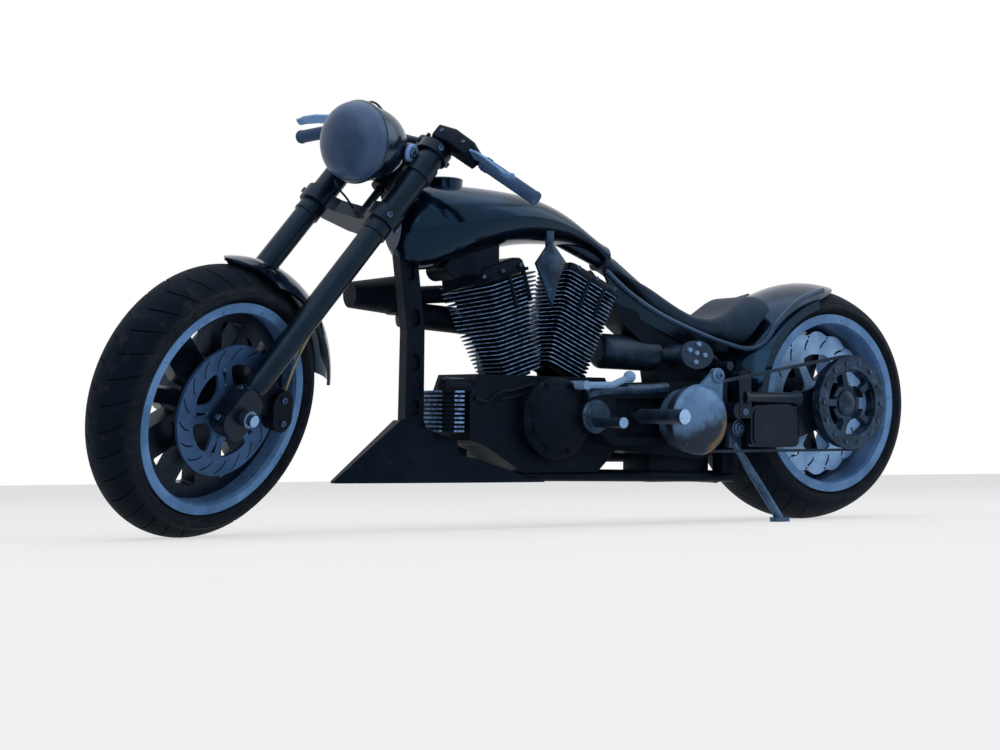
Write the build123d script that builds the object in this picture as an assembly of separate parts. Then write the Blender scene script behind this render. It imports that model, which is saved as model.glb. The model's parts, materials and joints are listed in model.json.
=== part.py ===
"""Scale model of a long V-twin chopper, parked on its side stand.

Millimetres. The machine is drawn upright in its own frame, with x forward, y to
its left, z up and the rear axle's middle at zero. The front end is drawn in the
frame of its steering axis: ahead of the axis, to the left, and up along it from
the axle. At the end the front end turns to its left stop, and the whole machine
leans onto the stand with both tyres and the stand's foot on z = 0.
"""
import os
from math import asin, atan2, cos, degrees, hypot, pi, radians, sin, sqrt, tan

from build123d import *

# Stance
WHEELBASE = 281.1
FRONT_AXLE_DROP = 3.6
RAKE = 39.3
STEERING_STOP = 25.4
PARKED_LEAN = 2.5
AXLE_AHEAD_OF_STEM = 3.7
RUNNING_GAP = 0.6
SEAT_GAP = 0.02

# Rear wheel
REAR_RADIUS = 50.0
REAR_HALF_WIDTH = 20.8
REAR_CROWN = 0.66 * REAR_RADIUS
REAR_LIP = REAR_RADIUS - 12.4
REAR_BARREL = REAR_LIP - 4.2
REAR_RIM_HALF = 19.4
REAR_AXLE = 2.6
REAR_HUB = 7.5
REAR_HUB_HALF = 15.0
REAR_DISC = 25.0
REAR_DISC_Y = -16.2
PULLEY_RADIUS = 19.0
PULLEY_Y = 28.4
PULLEY_SLEEVE = REAR_AXLE + 2.6
CAP_RADIUS = 5.3

# Front wheel
FRONT_RADIUS = 47.5
FRONT_HALF_WIDTH = 11.6
FRONT_CROWN = 11.8
FRONT_LIP = 36.8
FRONT_RIM_HALF = 9.8
FRONT_BARREL = 33.0
FRONT_AXLE = 2.4
FRONT_HUB = 6.5
FRONT_DISC = 22.7
FRONT_DISC_Y = 10.6
DISC_THICK = 1.2
SPOKE_COUNT = 5

# Fork, along the steering axis from the front axle
LEG_SPACING = 15.6
LEG_AHEAD = AXLE_AHEAD_OF_STEM + 2.0
LEG_RADIUS = 3.3
SLEEVE_RADIUS = 4.4
LEG_TOP = 124.0
LOWER_YOKE = 85.5
LOWER_YOKE_THICK = 5.5
UPPER_YOKE = 119.0
UPPER_YOKE_THICK = 4.0
STEM_RADIUS = 1.5
HEAD_RADIUS = 3.8
HEAD_LENGTH = 15.0
HEAD_TOP = UPPER_YOKE - 0.4

# Handlebar and headlight
BAR_RADIUS = 1.9
BAR_SHOULDER = (5.2, 17.5, 128.6)
BAR_TIP = (-5.7, 56.0, 121.3)
LAMP_RADIUS = 13.9
LAMP_LENGTH = 25.0
LAMP_DOME = 3.4
LENS_RADIUS = 12.6
LAMP_AHEAD = 24.5
LAMP_UP = 103.9
EAR_BACK = 15.0

# Engine
ENGINE_X = 2 * WHEELBASE / 3 - 43.4
FIN_THICK = 0.8
FIN_PITCH = 1.7
FIN_CORNER = 4.0
CASE_HALF = 13.0

# Frame
RAIL_SPACING = 9.5
RAIL_RADIUS = 2.1
RAIL_Z = -29.6
TUBE_RADIUS = 3.2
DOWNTUBE_THICK = 5.0
PIVOT_X = REAR_RADIUS + 8.0
PIVOT_Z = -4.0
PIVOT_RADIUS = 3.4
FAIRING_WALL = 0.9

# Rear fender
FENDER_WALL = 1.1
FENDER_HALF = REAR_HALF_WIDTH + 1.9
FENDER_RADIUS = REAR_RADIUS + 1.9

# Drive side
ARM_INNER = 22.0
ARM_THICK = 3.0
BELT_WIDTH = 3.4
BELT_THICK = 1.0
BELT_GAP = 0.15
DRIVE_X = ENGINE_X - 58.3
DRIVE_Z = -7.8
DRIVE_RADIUS = 12.0
PLATE_INNER = 13.1
PLATE_OUTER = 21.0
PLATE_POCKET = 3.0
PEG_RADIUS = 2.9
PEG_NECK = 2.0
PEG_X = ENGINE_X - 36.0
PEG_Z = -6.8
PEG_ROOT = PLATE_OUTER - PLATE_POCKET
PEG_WALL = 23.5
PEG_TIP = 47.0
PEG_SWEEP = 3.2

# Side stand
STAND_PIVOT = (REAR_RADIUS + 4.4, 16.0, -11.0)
STAND_FOOT = (STAND_PIVOT[0] - 14.6, 29.5)
STAND_RADIUS = 1.8
STAND_BOSS = 3.5
STAND_PIN = 1.6
FOOT_RADIUS = 4.0
FOOT_THICK = 1.8

NODES = {}
FRONT_NODES = {}


def keep(name, shape, front=False):
    """Store a finished piece under its node name."""
    (FRONT_NODES if front else NODES)[name] = shape


def rod(start, end, radius):
    """Round bar from one point to another."""
    start, end = Vector(*start), Vector(*end)
    bar = Cylinder(radius, (end - start).length, align=(Align.CENTER, Align.CENTER, Align.MIN))
    return Plane(origin=start, z_dir=end - start).location * bar


def across(x, z, y_low, y_high, radius):
    """Round bar parallel to the axles."""
    return rod((x, y_low, z), (x, y_high, z), radius)


def block(low, high):
    """Box between two corners."""
    size = [h - l for l, h in zip(low, high)]
    return Pos(*low) * Box(*size, align=(Align.MIN, Align.MIN, Align.MIN))


def bent_tube(points, bend, radius):
    """Round tube along straight runs joined by arcs."""
    path = FilletPolyline(*points, radius=bend)
    return sweep((Plane(origin=path @ 0, z_dir=path % 0) * Circle(radius)).face(), path=path)


def plate(outline, y_low, y_high):
    """Flat piece in the side view, between two distances to the left."""
    return Pos(0, y_low, 0) * extrude(Plane.XZ * outline, amount=y_low - y_high)


def turned(points, angle=360.0):
    """Solid of revolution about the y axis from a closed outline of (radius, y)."""
    return revolve(make_face(Polyline(*points, close=True)), Axis.Y, angle)


def domed(radius, base, edge, rise):
    """Short cylinder about the y axis from base to edge, with a round dome on it."""
    ball = (radius ** 2 + rise ** 2) / (2 * rise)
    half_angle = asin(radius / ball) / 2
    middle = (ball * sin(half_angle), edge + rise - ball + ball * cos(half_angle))
    top = (0, edge + rise)
    outline = [Line((0, base), (radius, base)), Line((radius, base), (radius, edge)),
               ThreePointArc((radius, edge), middle, top), Line(top, (0, base))]
    return revolve(make_face(outline), Axis.Y, 360)


def polygon(points):
    """Closed flat outline through the points."""
    return make_face(Polyline(*points, close=True))


def largest(shape):
    """The biggest solid of a shape that a cut has split."""
    return max(shape.solids(), key=lambda solid: solid.volume)


def polar(radius, angle):
    """Point of the side view at an angle, in degrees from forward to up."""
    return radius * cos(radians(angle)), radius * sin(radians(angle))


def mirrored(shape):
    """The same piece on the machine's other side."""
    return mirror(shape, Plane.XZ)


# Wheels, each about the y axis at its own centre

def tyre(radius, half_width, crown, lip, rim_half):
    """Solid tyre with a round crown, full shoulders and its beads in the rim."""
    shoulder = 0.86 * half_width
    shoulder_r = radius - crown + sqrt(crown ** 2 - shoulder ** 2)
    widest_r = lip + 0.2 * (radius - lip)
    bead = rim_half - 1.6
    middle = ((shoulder_r + widest_r) / 2 + 0.5, (shoulder + half_width) / 2 + 0.35)
    edges = [
        ThreePointArc((shoulder_r, -shoulder), (radius, 0), (shoulder_r, shoulder)),
        ThreePointArc((shoulder_r, shoulder), middle, (widest_r, half_width)),
        Polyline((widest_r, half_width), (lip, bead), (lip - 1.2, bead - 1), (lip - 1.2, 1 - bead),
                 (lip, -bead), (widest_r, -half_width)),
        ThreePointArc((widest_r, -half_width), (middle[0], -middle[1]), (shoulder_r, -shoulder)),
    ]
    return revolve(make_face(edges), Axis.Y, 360)


def rim(lip, rim_half, barrel):
    """Rolled lips and the barrel between them."""
    bead = rim_half - 1.6
    return turned([
        (barrel + 0.6, -rim_half), (lip, -rim_half), (lip, -bead), (lip - 1.2, 1 - bead),
        (lip - 1.2, bead - 1), (lip, bead), (lip, rim_half), (barrel + 0.6, rim_half),
        (barrel, rim_half - 1.4), (barrel, 1.4 - rim_half),
    ])


def opening(inner, outer, start, stop, half_start, half_stop, corner):
    """Opening between two straight spokes, given their angles and half widths."""
    low, high = [], []
    for r in (inner, outer):
        low.append(polar(r, start + degrees(asin(half_start / r))))
        high.append(polar(r, stop - degrees(asin(half_stop / r))))
    middle = polar(outer, (start + stop) / 2)
    points = [low[0], low[1], middle, high[1], high[0]]
    return fillet(polygon(points).vertices(), corner)


def wheel_centre(barrel, hub, hub_half, half_thick, openings, bore):
    """Billet centre: hub, flat web and its openings."""
    web = Circle(barrel - SEAT_GAP)
    for one in openings:
        web -= one
    body = plate(web, -half_thick, half_thick) + across(0, 0, -hub_half, hub_half, hub)
    return body - across(0, 0, -hub_half - 1, hub_half + 1, bore)


def brake_disc(face, slots, slot_radius, slot_length, y_middle):
    """Ventilated disc from its face, with a ring of slanted slots."""
    for k in range(slots):
        slot = SlotCenterToCenter(slot_length, 1.0)
        face -= Rot(0, 0, 360.0 / slots * k) * (Pos(slot_radius, 0) * (Rot(0, 0, 35) * slot))
    return plate(face, y_middle - DISC_THICK / 2, y_middle + DISC_THICK / 2)


def rear_wheel():
    """Rear wheel pieces at the rear axle."""
    keep("rear_tyre", tyre(REAR_RADIUS, REAR_HALF_WIDTH, REAR_CROWN, REAR_LIP, REAR_RIM_HALF))
    keep("rear_rim", rim(REAR_LIP, REAR_RIM_HALF, REAR_BARREL))
    bore = REAR_AXLE + 0.3
    step = 180.0 / SPOKE_COUNT
    openings = [opening(REAR_HUB + 4.0, REAR_BARREL - 2.6, step * k, step * (k + 1), 1.7, 1.7, 1.2)
                for k in range(2 * SPOKE_COUNT)]
    keep("rear_wheel_centre", wheel_centre(REAR_BARREL, REAR_HUB, REAR_HUB_HALF, 3.5, openings, bore))
    collar = REAR_AXLE + 3.0
    face = Circle(REAR_DISC) - Circle(collar)
    for k in range(12):
        face -= Pos(*polar(REAR_DISC + 5.0, 30.0 * k)) * Circle(6.0)
    for k in range(6):
        face -= opening(10.0, REAR_DISC * 0.66, 60.0 * k, 60.0 * (k + 1), 1.6, 1.6, 1.0)
    keep("rear_brake_disc", brake_disc(face, 18, REAR_DISC * 0.82, 3.2, REAR_DISC_Y))
    inner_face = REAR_DISC_Y + DISC_THICK / 2
    carrier = turned([(bore, -REAR_HUB_HALF - SEAT_GAP), (REAR_HUB, -REAR_HUB_HALF - SEAT_GAP),
                      (REAR_HUB, inner_face), (collar - SEAT_GAP, inner_face),
                      (collar - SEAT_GAP, REAR_DISC_Y - 2.5), (bore, REAR_DISC_Y - 2.5)])
    keep("rear_disc_carrier", carrier)
    pulley(bore)
    face = PULLEY_Y - 0.5
    keep("rear_hub_cap", domed(CAP_RADIUS, face, face + 0.7, 1.9))


def pulley(bore):
    """Belt pulley with a bolted ring, five thin spokes and a hub sleeve."""
    near, far = PULLEY_Y - BELT_WIDTH / 2, PULLEY_Y + BELT_WIDTH / 2
    face = Circle(PULLEY_RADIUS)
    step = 360.0 / SPOKE_COUNT
    for k in range(SPOKE_COUNT):
        face -= opening(8.6, 13.6, step * k, step * (k + 1), 1.3, 1.3, 1.0)
    wheel = plate(face, near, far) - across(0, 0, PULLEY_Y - 0.5, far + 1, CAP_RADIUS + 2.7)
    sleeve = across(0, 0, REAR_HUB_HALF + SEAT_GAP, near + 0.5, PULLEY_SLEEVE)
    ring = across(0, 0, far, far + 0.5, PULLEY_RADIUS - 1.2)
    ring += across(0, 0, far + 0.4, far + 1.2, PULLEY_RADIUS + 0.5)
    ring -= across(0, 0, near, far + 2, 14.0)
    for k in range(14):
        x, z = polar(16.8, 360.0 / 14 * k)
        ring += across(x, z, far + 1.0, far + 1.7, 0.8)
    keep("rear_pulley", wheel + sleeve + ring - across(0, 0, REAR_HUB_HALF - 1, PULLEY_Y, bore))


def front_wheel():
    """Front wheel pieces, about the y axis, moved to the front axle."""
    place = Pos(AXLE_AHEAD_OF_STEM, 0, 0) * Rot(0, RAKE, 0)
    keep("front_tyre", place * tyre(FRONT_RADIUS, FRONT_HALF_WIDTH, FRONT_CROWN, FRONT_LIP, FRONT_RIM_HALF), True)
    keep("front_rim", place * rim(FRONT_LIP, FRONT_RIM_HALF, FRONT_BARREL), True)
    bore = FRONT_AXLE + 0.3
    hub_half = FRONT_DISC_Y - DISC_THICK / 2
    step = 360.0 / SPOKE_COUNT
    thick, thin, first = 5.8, 2.5, -27.0
    half_web = 3.2
    openings, marks = [], None
    for k in range(SPOKE_COUNT):
        wide, narrow = first + step * k, first + step * (k + 0.5)
        openings.append(opening(16.5, 28.6, wide, narrow, thick, thin, 0.7))
        openings.append(opening(16.5, 28.6, narrow, wide + step, thin, thick, 0.7))
        x, z = polar(21.0, wide)
        for y_low, y_high in ((half_web - 1.0, half_web + 1.0), (-half_web - 1.0, 1.0 - half_web)):
            mark = across(x, z, y_low, y_high, 4.6)
            marks = mark if marks is None else marks + mark
    centre = wheel_centre(FRONT_BARREL, FRONT_HUB, hub_half, half_web, openings, bore)
    keep("front_wheel_centre", place * (centre - marks), True)
    face = Circle(FRONT_DISC) - Circle(bore)
    for k in range(SPOKE_COUNT):
        arm = step * k - 3.0
        face -= opening(8.4, 17.3, arm, arm + step, 2.2, 2.2, 1.0)
        face -= polygon([polar(8.7, arm), polar(16.6, arm - 2.4), polar(16.6, arm + 2.4)])
    keep("front_brake_disc", place * brake_disc(face, 18, FRONT_DISC - 2.8, 3.4, FRONT_DISC_Y), True)


# Front end, in the frame of the steering axis

def yoke(low, thick):
    """Yoke plate round both sleeves, with a hollow front edge."""
    front = LEG_AHEAD + 3.5
    face = polygon([(front, -LEG_SPACING), (LEG_AHEAD, -6), (LEG_AHEAD, 6), (front, LEG_SPACING),
                    (-1, LEG_SPACING), (-4.4, 4), (-4.4, -4), (-1, -LEG_SPACING)])
    face += Circle(4.6)
    shape = None
    for sign in (1, -1):
        face += Pos(LEG_AHEAD, sign * LEG_SPACING) * Circle(SLEEVE_RADIUS + 1.8)
    shape = Pos(0, 0, low) * extrude(face, thick)
    for sign in (1, -1):
        shape -= rod((LEG_AHEAD, sign * LEG_SPACING, low - 1), (LEG_AHEAD, sign * LEG_SPACING, low + thick + 1),
                     SLEEVE_RADIUS)
    return shape


def front_end():
    """Fork, axle, yokes, bar, headlight, fender and caliper."""
    lug_half = LEG_RADIUS
    for side, sign in (("left", 1), ("right", -1)):
        y = sign * LEG_SPACING
        leg = rod((LEG_AHEAD, y, 6), (LEG_AHEAD, y, LOWER_YOKE - 3), LEG_RADIUS)
        leg += rod((LEG_AHEAD, y, LOWER_YOKE - 3), (LEG_AHEAD, y, LEG_TOP), SLEEVE_RADIUS)
        lug = Pos((LEG_AHEAD + AXLE_AHEAD_OF_STEM) / 2, y, 0) * Box(12, 2 * lug_half, 17)
        leg += fillet(lug.edges().filter_by(Axis.Y), 4)
        leg -= across(AXLE_AHEAD_OF_STEM, 0, y - 6, y + 6, FRONT_AXLE)
        keep(side + "_fork_leg", leg, True)
    face = LEG_SPACING + lug_half + SEAT_GAP
    axle = across(AXLE_AHEAD_OF_STEM, 0, -face, face, FRONT_AXLE - SEAT_GAP)
    nut = across(AXLE_AHEAD_OF_STEM, 0, face, face + 2.6, 2.9) + across(AXLE_AHEAD_OF_STEM, 0, face + 2.5, face + 4.6, 2.0)
    keep("front_axle", axle + nut + mirrored(across(AXLE_AHEAD_OF_STEM, 0, face, face + 2.6, 2.9)), True)
    keep("lower_yoke", yoke(LOWER_YOKE, LOWER_YOKE_THICK), True)
    keep("upper_yoke", yoke(UPPER_YOKE, UPPER_YOKE_THICK), True)
    keep("steering_stem", rod((0, 0, LOWER_YOKE + LOWER_YOKE_THICK), (0, 0, UPPER_YOKE), STEM_RADIUS), True)
    handlebar()
    headlight()
    front_fender()
    front_caliper()


def bar_point(y):
    """Point of the bar's middle line on its outer run."""
    share = (y - BAR_SHOULDER[1]) / (BAR_TIP[1] - BAR_SHOULDER[1])
    return tuple(a + share * (b - a) for a, b in zip(BAR_SHOULDER, BAR_TIP))


def handlebar():
    """Swept bar on its clamp, with grips, levers and reservoirs."""
    rise = (2.7, 9.0, 129.6)
    half = [rise, BAR_SHOULDER, BAR_TIP]
    points = [(a, -y, s) for a, y, s in reversed(half)] + half
    bar = bent_tube(points, 8, BAR_RADIUS)
    keep("handlebar", bar, True)
    top = UPPER_YOKE + UPPER_YOKE_THICK
    clamp = rod((rise[0], -rise[1], rise[2]), (rise[0], rise[1], rise[2]), 4.6)
    clamp += block((rise[0] - 4, -7.5, top), (rise[0] + 4, 7.5, rise[2]))
    keep("bar_clamp", clamp - bar, True)
    grip = rod(bar_point(33), bar_point(57.4), 2.45) - bar
    keep("hand_grips", Compound([largest(grip), largest(mirrored(grip))]), True)
    lever = bent_tube([(7.0, 25, 128.6), (7, 34, 127.2), (1.7, 50, 123.6), (2.6, 53.5, 124)], 2, 1.1)
    ring = rod(bar_point(19.5), bar_point(24.5), 3.3)
    a, y, s = bar_point(27)
    cup = Pos(a + 2, y, s + 3.5) * Box(6, 12, 5)
    lever = largest(lever + ring + fillet(cup.edges().filter_by(Axis.Z), 1.2) - bar)
    keep("hand_levers", Compound([lever, mirrored(lever)]), True)


def headlight():
    """Bullet lamp: shell, domed lens and the ears that carry it."""
    tilt = Pos(LAMP_AHEAD, 0, LAMP_UP) * Rot(0, RAKE, 0) * Rot(0, 0, -90)
    body, band = LAMP_RADIUS - 0.7, 4.0
    waist = (LAMP_RADIUS * 0.80, -LAMP_LENGTH * 0.6)
    seat = 1.2
    outline = [Line((0, -LAMP_LENGTH), (0, -seat)), Line((0, -seat), (LENS_RADIUS, -seat)),
               Line((LENS_RADIUS, -seat), (LENS_RADIUS, 0)), Line((LENS_RADIUS, 0), (LAMP_RADIUS, 0)),
               Line((LAMP_RADIUS, 0), (LAMP_RADIUS, -band)), Line((LAMP_RADIUS, -band), (body, -band)),
               ThreePointArc((body, -band), waist, (0, -LAMP_LENGTH))]
    shell = tilt * revolve(make_face(outline), Axis.Y, 360)
    shell -= rod((0, 0, LOWER_YOKE), (0, 0, UPPER_YOKE), HEAD_RADIUS + RUNNING_GAP)
    for other in ("lower_yoke", "upper_yoke", "bar_clamp", "left_fork_leg", "right_fork_leg", "handlebar",
                  "hand_levers"):
        shell -= FRONT_NODES[other]
    keep("headlight_shell", largest(shell), True)
    keep("headlight_lens", tilt * domed(LENS_RADIUS - SEAT_GAP, SEAT_GAP - seat, 0, LAMP_DOME), True)
    a = LAMP_AHEAD - EAR_BACK * cos(radians(RAKE))
    s = LAMP_UP + EAR_BACK * sin(radians(RAKE))
    ring = rod((LEG_AHEAD, LEG_SPACING, s - 4.5), (LEG_AHEAD, LEG_SPACING, s + 1.5), SLEEVE_RADIUS + 1.2)
    web = plate(polygon([(a, s + 3.2), (a, s - 3.2), (LEG_AHEAD, s - 4.3), (LEG_AHEAD, s + 1.3)]), 12.1, 13.6)
    ear = ring + web + across(a, s, 12.1, 13.6, 3.3) + across(a, s, 8.5, 14.6, 1.8)
    ear = largest(ear - FRONT_NODES["left_fork_leg"] - FRONT_NODES["headlight_shell"])
    keep("headlight_ears", Compound([ear, mirrored(ear)]), True)


def front_fender():
    """Short fender over the top and back of the front wheel, slanted at its tip."""
    outer, half, back = FRONT_RADIUS + 3.0, FRONT_HALF_WIDTH + 1.3, 4.7
    inner, edge = outer - FENDER_WALL, outer - 8.4
    outline = [
        ThreePointArc((edge, -half), (outer, 0), (edge, half)),
        Line((edge, half), (edge, half - FENDER_WALL)),
        ThreePointArc((edge, half - FENDER_WALL), (inner, 0), (edge, FENDER_WALL - half)),
        Line((edge, FENDER_WALL - half), (edge, -half)),
    ]
    shell = Pos(-back, 0, 0) * (Rot(0, -173, 0) * revolve(make_face(outline), Axis.Y, 112))
    tip = polygon([(-4.3, 41.3), (13.8, 48.0), (60, 65.1), (60, 0), (-4.3, 0)])
    shell -= plate(tip, -half - 1, half + 1)
    shell = Pos(AXLE_AHEAD_OF_STEM, 0, 0) * (Rot(0, RAKE, 0) * shell)
    keep("front_fender", largest(shell - FRONT_NODES["left_fork_leg"] - FRONT_NODES["right_fork_leg"]), True)


def front_caliper():
    """Caliper on the back of the left leg, and the hose down to it."""
    leg = FRONT_NODES["left_fork_leg"]
    centre = (AXLE_AHEAD_OF_STEM - 15.4, 13.3)
    body = plate(Pos(*centre) * (Rot(0, 0, 40) * SlotOverall(15, 9.2)), FRONT_DISC_Y - 5.1, FRONT_DISC_Y + 6.4)
    tab = plate(polygon([(-9, 18), (-8, 8), (LEG_AHEAD - 2, 9.5), (LEG_AHEAD - 1, 20)]), 12.3, 15.0)
    body += tab
    body -= across(AXLE_AHEAD_OF_STEM, 0, FRONT_DISC_Y - 1.1, FRONT_DISC_Y + 1.1, FRONT_DISC + 0.5)
    body = largest(body - leg - FRONT_NODES["front_fender"])
    keep("front_caliper", body, True)
    y = LEG_SPACING
    hose = bent_tube([(0.2, y, LOWER_YOKE), (0.2, y, 45), (-2.5, y - 0.6, 32), (-9.5, y - 1.5, 17)], 8, 0.9)
    keep("front_brake_hose", largest(hose - body - leg - FRONT_NODES["front_fender"]), True)


# Frame, body and engine, in the machine's own frame

def stem_point(along):
    """Point of the steering axis in the machine's frame."""
    foot_x = WHEELBASE - AXLE_AHEAD_OF_STEM * cos(radians(RAKE))
    foot_z = -FRONT_AXLE_DROP - AXLE_AHEAD_OF_STEM * sin(radians(RAKE))
    return foot_x - along * sin(radians(RAKE)), 0.0, foot_z + along * cos(radians(RAKE))


def frame():
    """Neck, spine, downtube, rails and the fairing between them."""
    neck = stem_point(0)[0]
    e = ENGINE_X
    tube = rod(stem_point(HEAD_TOP - HEAD_LENGTH), stem_point(HEAD_TOP), HEAD_RADIUS)
    keep("head_tube", tube - rod(stem_point(LOWER_YOKE), stem_point(LEG_TOP), STEM_RADIUS + 0.3))
    post = PIVOT_X - 1.5
    spine = bent_tube([(neck - 70, 0, 73), (e + 6, 0, 69), (e - 38, 0, 53), (PIVOT_X + 10, 0, 29), (PIVOT_X - 1, 0, 6),
                       (post, 0, RAIL_Z)], 14, TUBE_RADIUS)
    spine += across(post, RAIL_Z - 1.5, -RAIL_SPACING, RAIL_SPACING, 2.6)
    spine += across(PIVOT_X, PIVOT_Z, -8, 8, PIVOT_RADIUS + 2)
    spine += across(PIVOT_X + 0.9, 14.1, 2, 20, 1.8)
    spine -= across(PIVOT_X, PIVOT_Z, -10, 10, PIVOT_RADIUS)
    for side, sign in (("left", 1), ("right", -1)):
        y = sign * RAIL_SPACING
        rail = rod((e + 14, y, RAIL_Z), (REAR_RADIUS - 2, y, RAIL_Z - 1.6), RAIL_RADIUS)
        keep(side + "_lower_rail", rail)
        spine -= rail
    keep("backbone", largest(spine - tube))
    web = polygon([(neck - 65.7, 77), (neck - 71.5, 59.4), (neck - 76.4, 23.4), (neck - 76, -9.3), (neck - 80, -17),
                   (e + 31, -27), (e + 31, -20), (neck - 86, -14), (neck - 84.1, -9.2), (neck - 84, 23.8),
                   (neck - 79, 62), (neck - 77, 77)])
    half = DOWNTUBE_THICK / 2
    web = plate(web, -half, half)
    for x, z in ((80.1, -4.8), (80.2, 11.8), (80.0, 28.0), (77.4, 44.7), (75.2, 60.8)):
        pocket = Pos(neck - x, z) * (Rot(0, 0, 90) * SlotOverall(6.5, 4.0))
        web -= plate(pocket, half - 1.4, half + 1) + plate(pocket, -half - 1, 1.4 - half)
    keep("downtube", largest(web - tube - NODES["backbone"]))
    fairing(neck, e)


def trapezoids(rows):
    """Ruled body through upright sections of (x, bottom, top, half at bottom, half at top)."""
    faces = []
    for x, low, high, half_low, half_high in rows:
        corners = [(x, -half_low, low), (x, half_low, low), (x, half_high, high), (x, -half_high, high)]
        faces.append(make_face(Polyline(*corners, close=True)))
    return loft(faces, ruled=True)


def fairing(neck, e):
    """Pointed belly fairing, open underneath and where the engine stands."""
    low, w = RAIL_Z - 2.4, FAIRING_WALL
    outer = trapezoids([(neck - 47.7, low, low + 0.9, 1.4, 1.2), (neck - 74.2, low, -9.3, 7, 2.5),
                        (e + 30.5, low, -19.2, 11.5, 9), (e + 10.2, low, -30.5, 13.2, 12.4),
                        (e + 3, low, -31.3, 13.8, 13.4)])
    inner = trapezoids([(neck - 57, low - 2, -25.6, 3.3 - w, 1.8 - w), (neck - 74.2, low - 2, -10.6, 7 - w, 2.5 - w),
                        (e + 39, low - 2, -17.4, 10.2 - w, 6.9 - w), (e + 38, low - 2, 0, 10.4 - w, 7.2 - w),
                        (e + 30.5, low - 2, 0, 11.5 - w, 9 - w), (e + 10.2, low - 2, 0, 13.2 - w, 12.4 - w),
                        (e + 1, low - 2, 0, 13.9 - w, 13.5 - w)])
    keep("chin_fairing", largest(outer - inner - NODES["downtube"]))


def tank_and_seat():
    """Teardrop tank with its cap, the seat's body and the rear fender."""
    neck, e, r = stem_point(0)[0], ENGINE_X, REAR_RADIUS
    sections = [(neck - 71.2, 61.5, 9, 6), (neck - 82.2, 61.5, 15.5, 13), (e + 26, 66, 12, 16.5), (e + 6, 67.5, 9, 15),
                (e - 13, 65, 5.6, 10.5), (e - 34, 56.2, 4.6, 6)]
    faces = [Plane(origin=(x, 0, z), x_dir=(0, 1, 0), z_dir=(-1, 0, 0)) * Ellipse(w, h) for x, z, h, w in sections]
    tank = loft([f.face() for f in faces])
    tank += rod((neck - 92.6, 0, 68), (neck - 92.6, 0, 79.6), 7.4)
    tank -= NODES["backbone"] + NODES["head_tube"] + NODES["downtube"]
    keep("fuel_tank", largest(tank))
    shelf = REAR_RADIUS + 1.9
    rows = [(e - 32, 54.7, 3.8, 5.5), (e - 52, 42.5, 3, 7.5), (r + 25, 33.3, 3.2, 10), (r + 10, 30, 3.7, 13),
            (r - 2, 0.63 * r, 8, 16), (r - 14, 0.648 * r, 11, 19)]
    faces = [Plane(origin=(x, 0, z), x_dir=(0, 1, 0), z_dir=(-1, 0, 0)) * RectangleRounded(2 * w, 2 * h, 0.8 * h)
             for x, z, h, w in rows]
    seat = loft([f.face() for f in faces])
    seat -= across(0, 0, -FENDER_HALF, FENDER_HALF, shelf) + NODES["backbone"] + NODES["fuel_tank"]
    keep("seat", largest(seat))
    outer, inner, half = FENDER_RADIUS, FENDER_RADIUS - FENDER_WALL, FENDER_HALF
    side, knee = r - 9.5, r - 6.0
    within = half - FENDER_WALL
    outline = [
        Line((side, -half), (knee, -half)), ThreePointArc((knee, -half), (outer, 0), (knee, half)),
        Line((knee, half), (side, half)), Line((side, half), (side, within)), Line((side, within), (knee - 0.6, within)),
        ThreePointArc((knee - 0.6, within), (inner, 0), (knee - 0.6, -within)),
        Line((knee - 0.6, -within), (side, -within)), Line((side, -within), (side, -half)),
    ]
    shell = Rot(0, -105, 0) * revolve(make_face(outline), Axis.Y, 102)
    tail = polygon([(0.22 * r, 0.858 * r), (-0.29 * r, 1.044 * r), (-1.2 * r, 1.38 * r), (-1.2 * r, 0), (0.22 * r, 0)])
    shell -= plate(tail, -half - 1, half + 1)
    keep("rear_fender", largest(shell - NODES["seat"]))


def cylinder(foot, lean, barrel, head, clip):
    """Finned barrel and head; rows give the shift along the fins and their half lengths."""
    tilt = radians(lean)
    along, up = (cos(tilt), -sin(tilt)), (sin(tilt), cos(tilt))

    def fin(height, shift, half_length, half_width, thick):
        """One fin at a height along the cylinder's axis."""
        x = foot[0] + height * up[0] + shift * along[0]
        z = foot[1] + height * up[1] + shift * along[1]
        flat = extrude(RectangleRounded(2 * half_length, 2 * half_width, FIN_CORNER), thick / 2, both=True)
        return Pos(x, 0, z) * (Rot(0, lean, 0) * flat)

    pieces = []
    count, low_half, high_half, drift, low_width, high_width = barrel
    for k in range(count):
        share = k / (count - 1)
        pieces.append(fin(FIN_PITCH * k, drift * share, low_half + share * (high_half - low_half),
                          low_width + share * (high_width - low_width), FIN_THICK))
    head_rows, top, head_half, head_width = head
    for k in range(head_rows):
        pieces.append(fin(top - FIN_PITCH * k, 0, head_half, head_width, FIN_THICK))
    for k in range(6):
        height = top * k / 5
        inside = low_half - 3.0 if height < FIN_PITCH * count else head_half - 4.0
        shift = drift * min(1.0, height / (FIN_PITCH * (count - 1))) if height < FIN_PITCH * count else 0.0
        pieces.append(fin(height, shift, inside, low_width - 2.0, top / 5 + 0.5))
    shape = pieces[0].fuse(*pieces[1:])
    for sign in (1, -1):
        for shift in (-5.0, 3.5):
            x = foot[0] + top * up[0] + shift * along[0]
            z = foot[1] + top * up[1] + shift * along[1]
            notch = Pos(x, sign * head_width, z) * (Rot(0, lean, 0) * Box(1.6, 3.4, 24))
            shape -= notch
    return shape - clip


def rocker(middle, lean, box_length, lift):
    """Ledge on the head with the rounded rocker box on top."""
    ledge = Box(28.8, 20, 1.7)
    box = Pos(0, 0, lift) * Box(box_length, 16, 2 * lift - 1.7)
    cover = ledge + fillet(box.edges().filter_by(Axis.Z), 2.5)
    return Pos(middle[0], 0, middle[1]) * (Rot(0, lean, 0) * cover)


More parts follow.
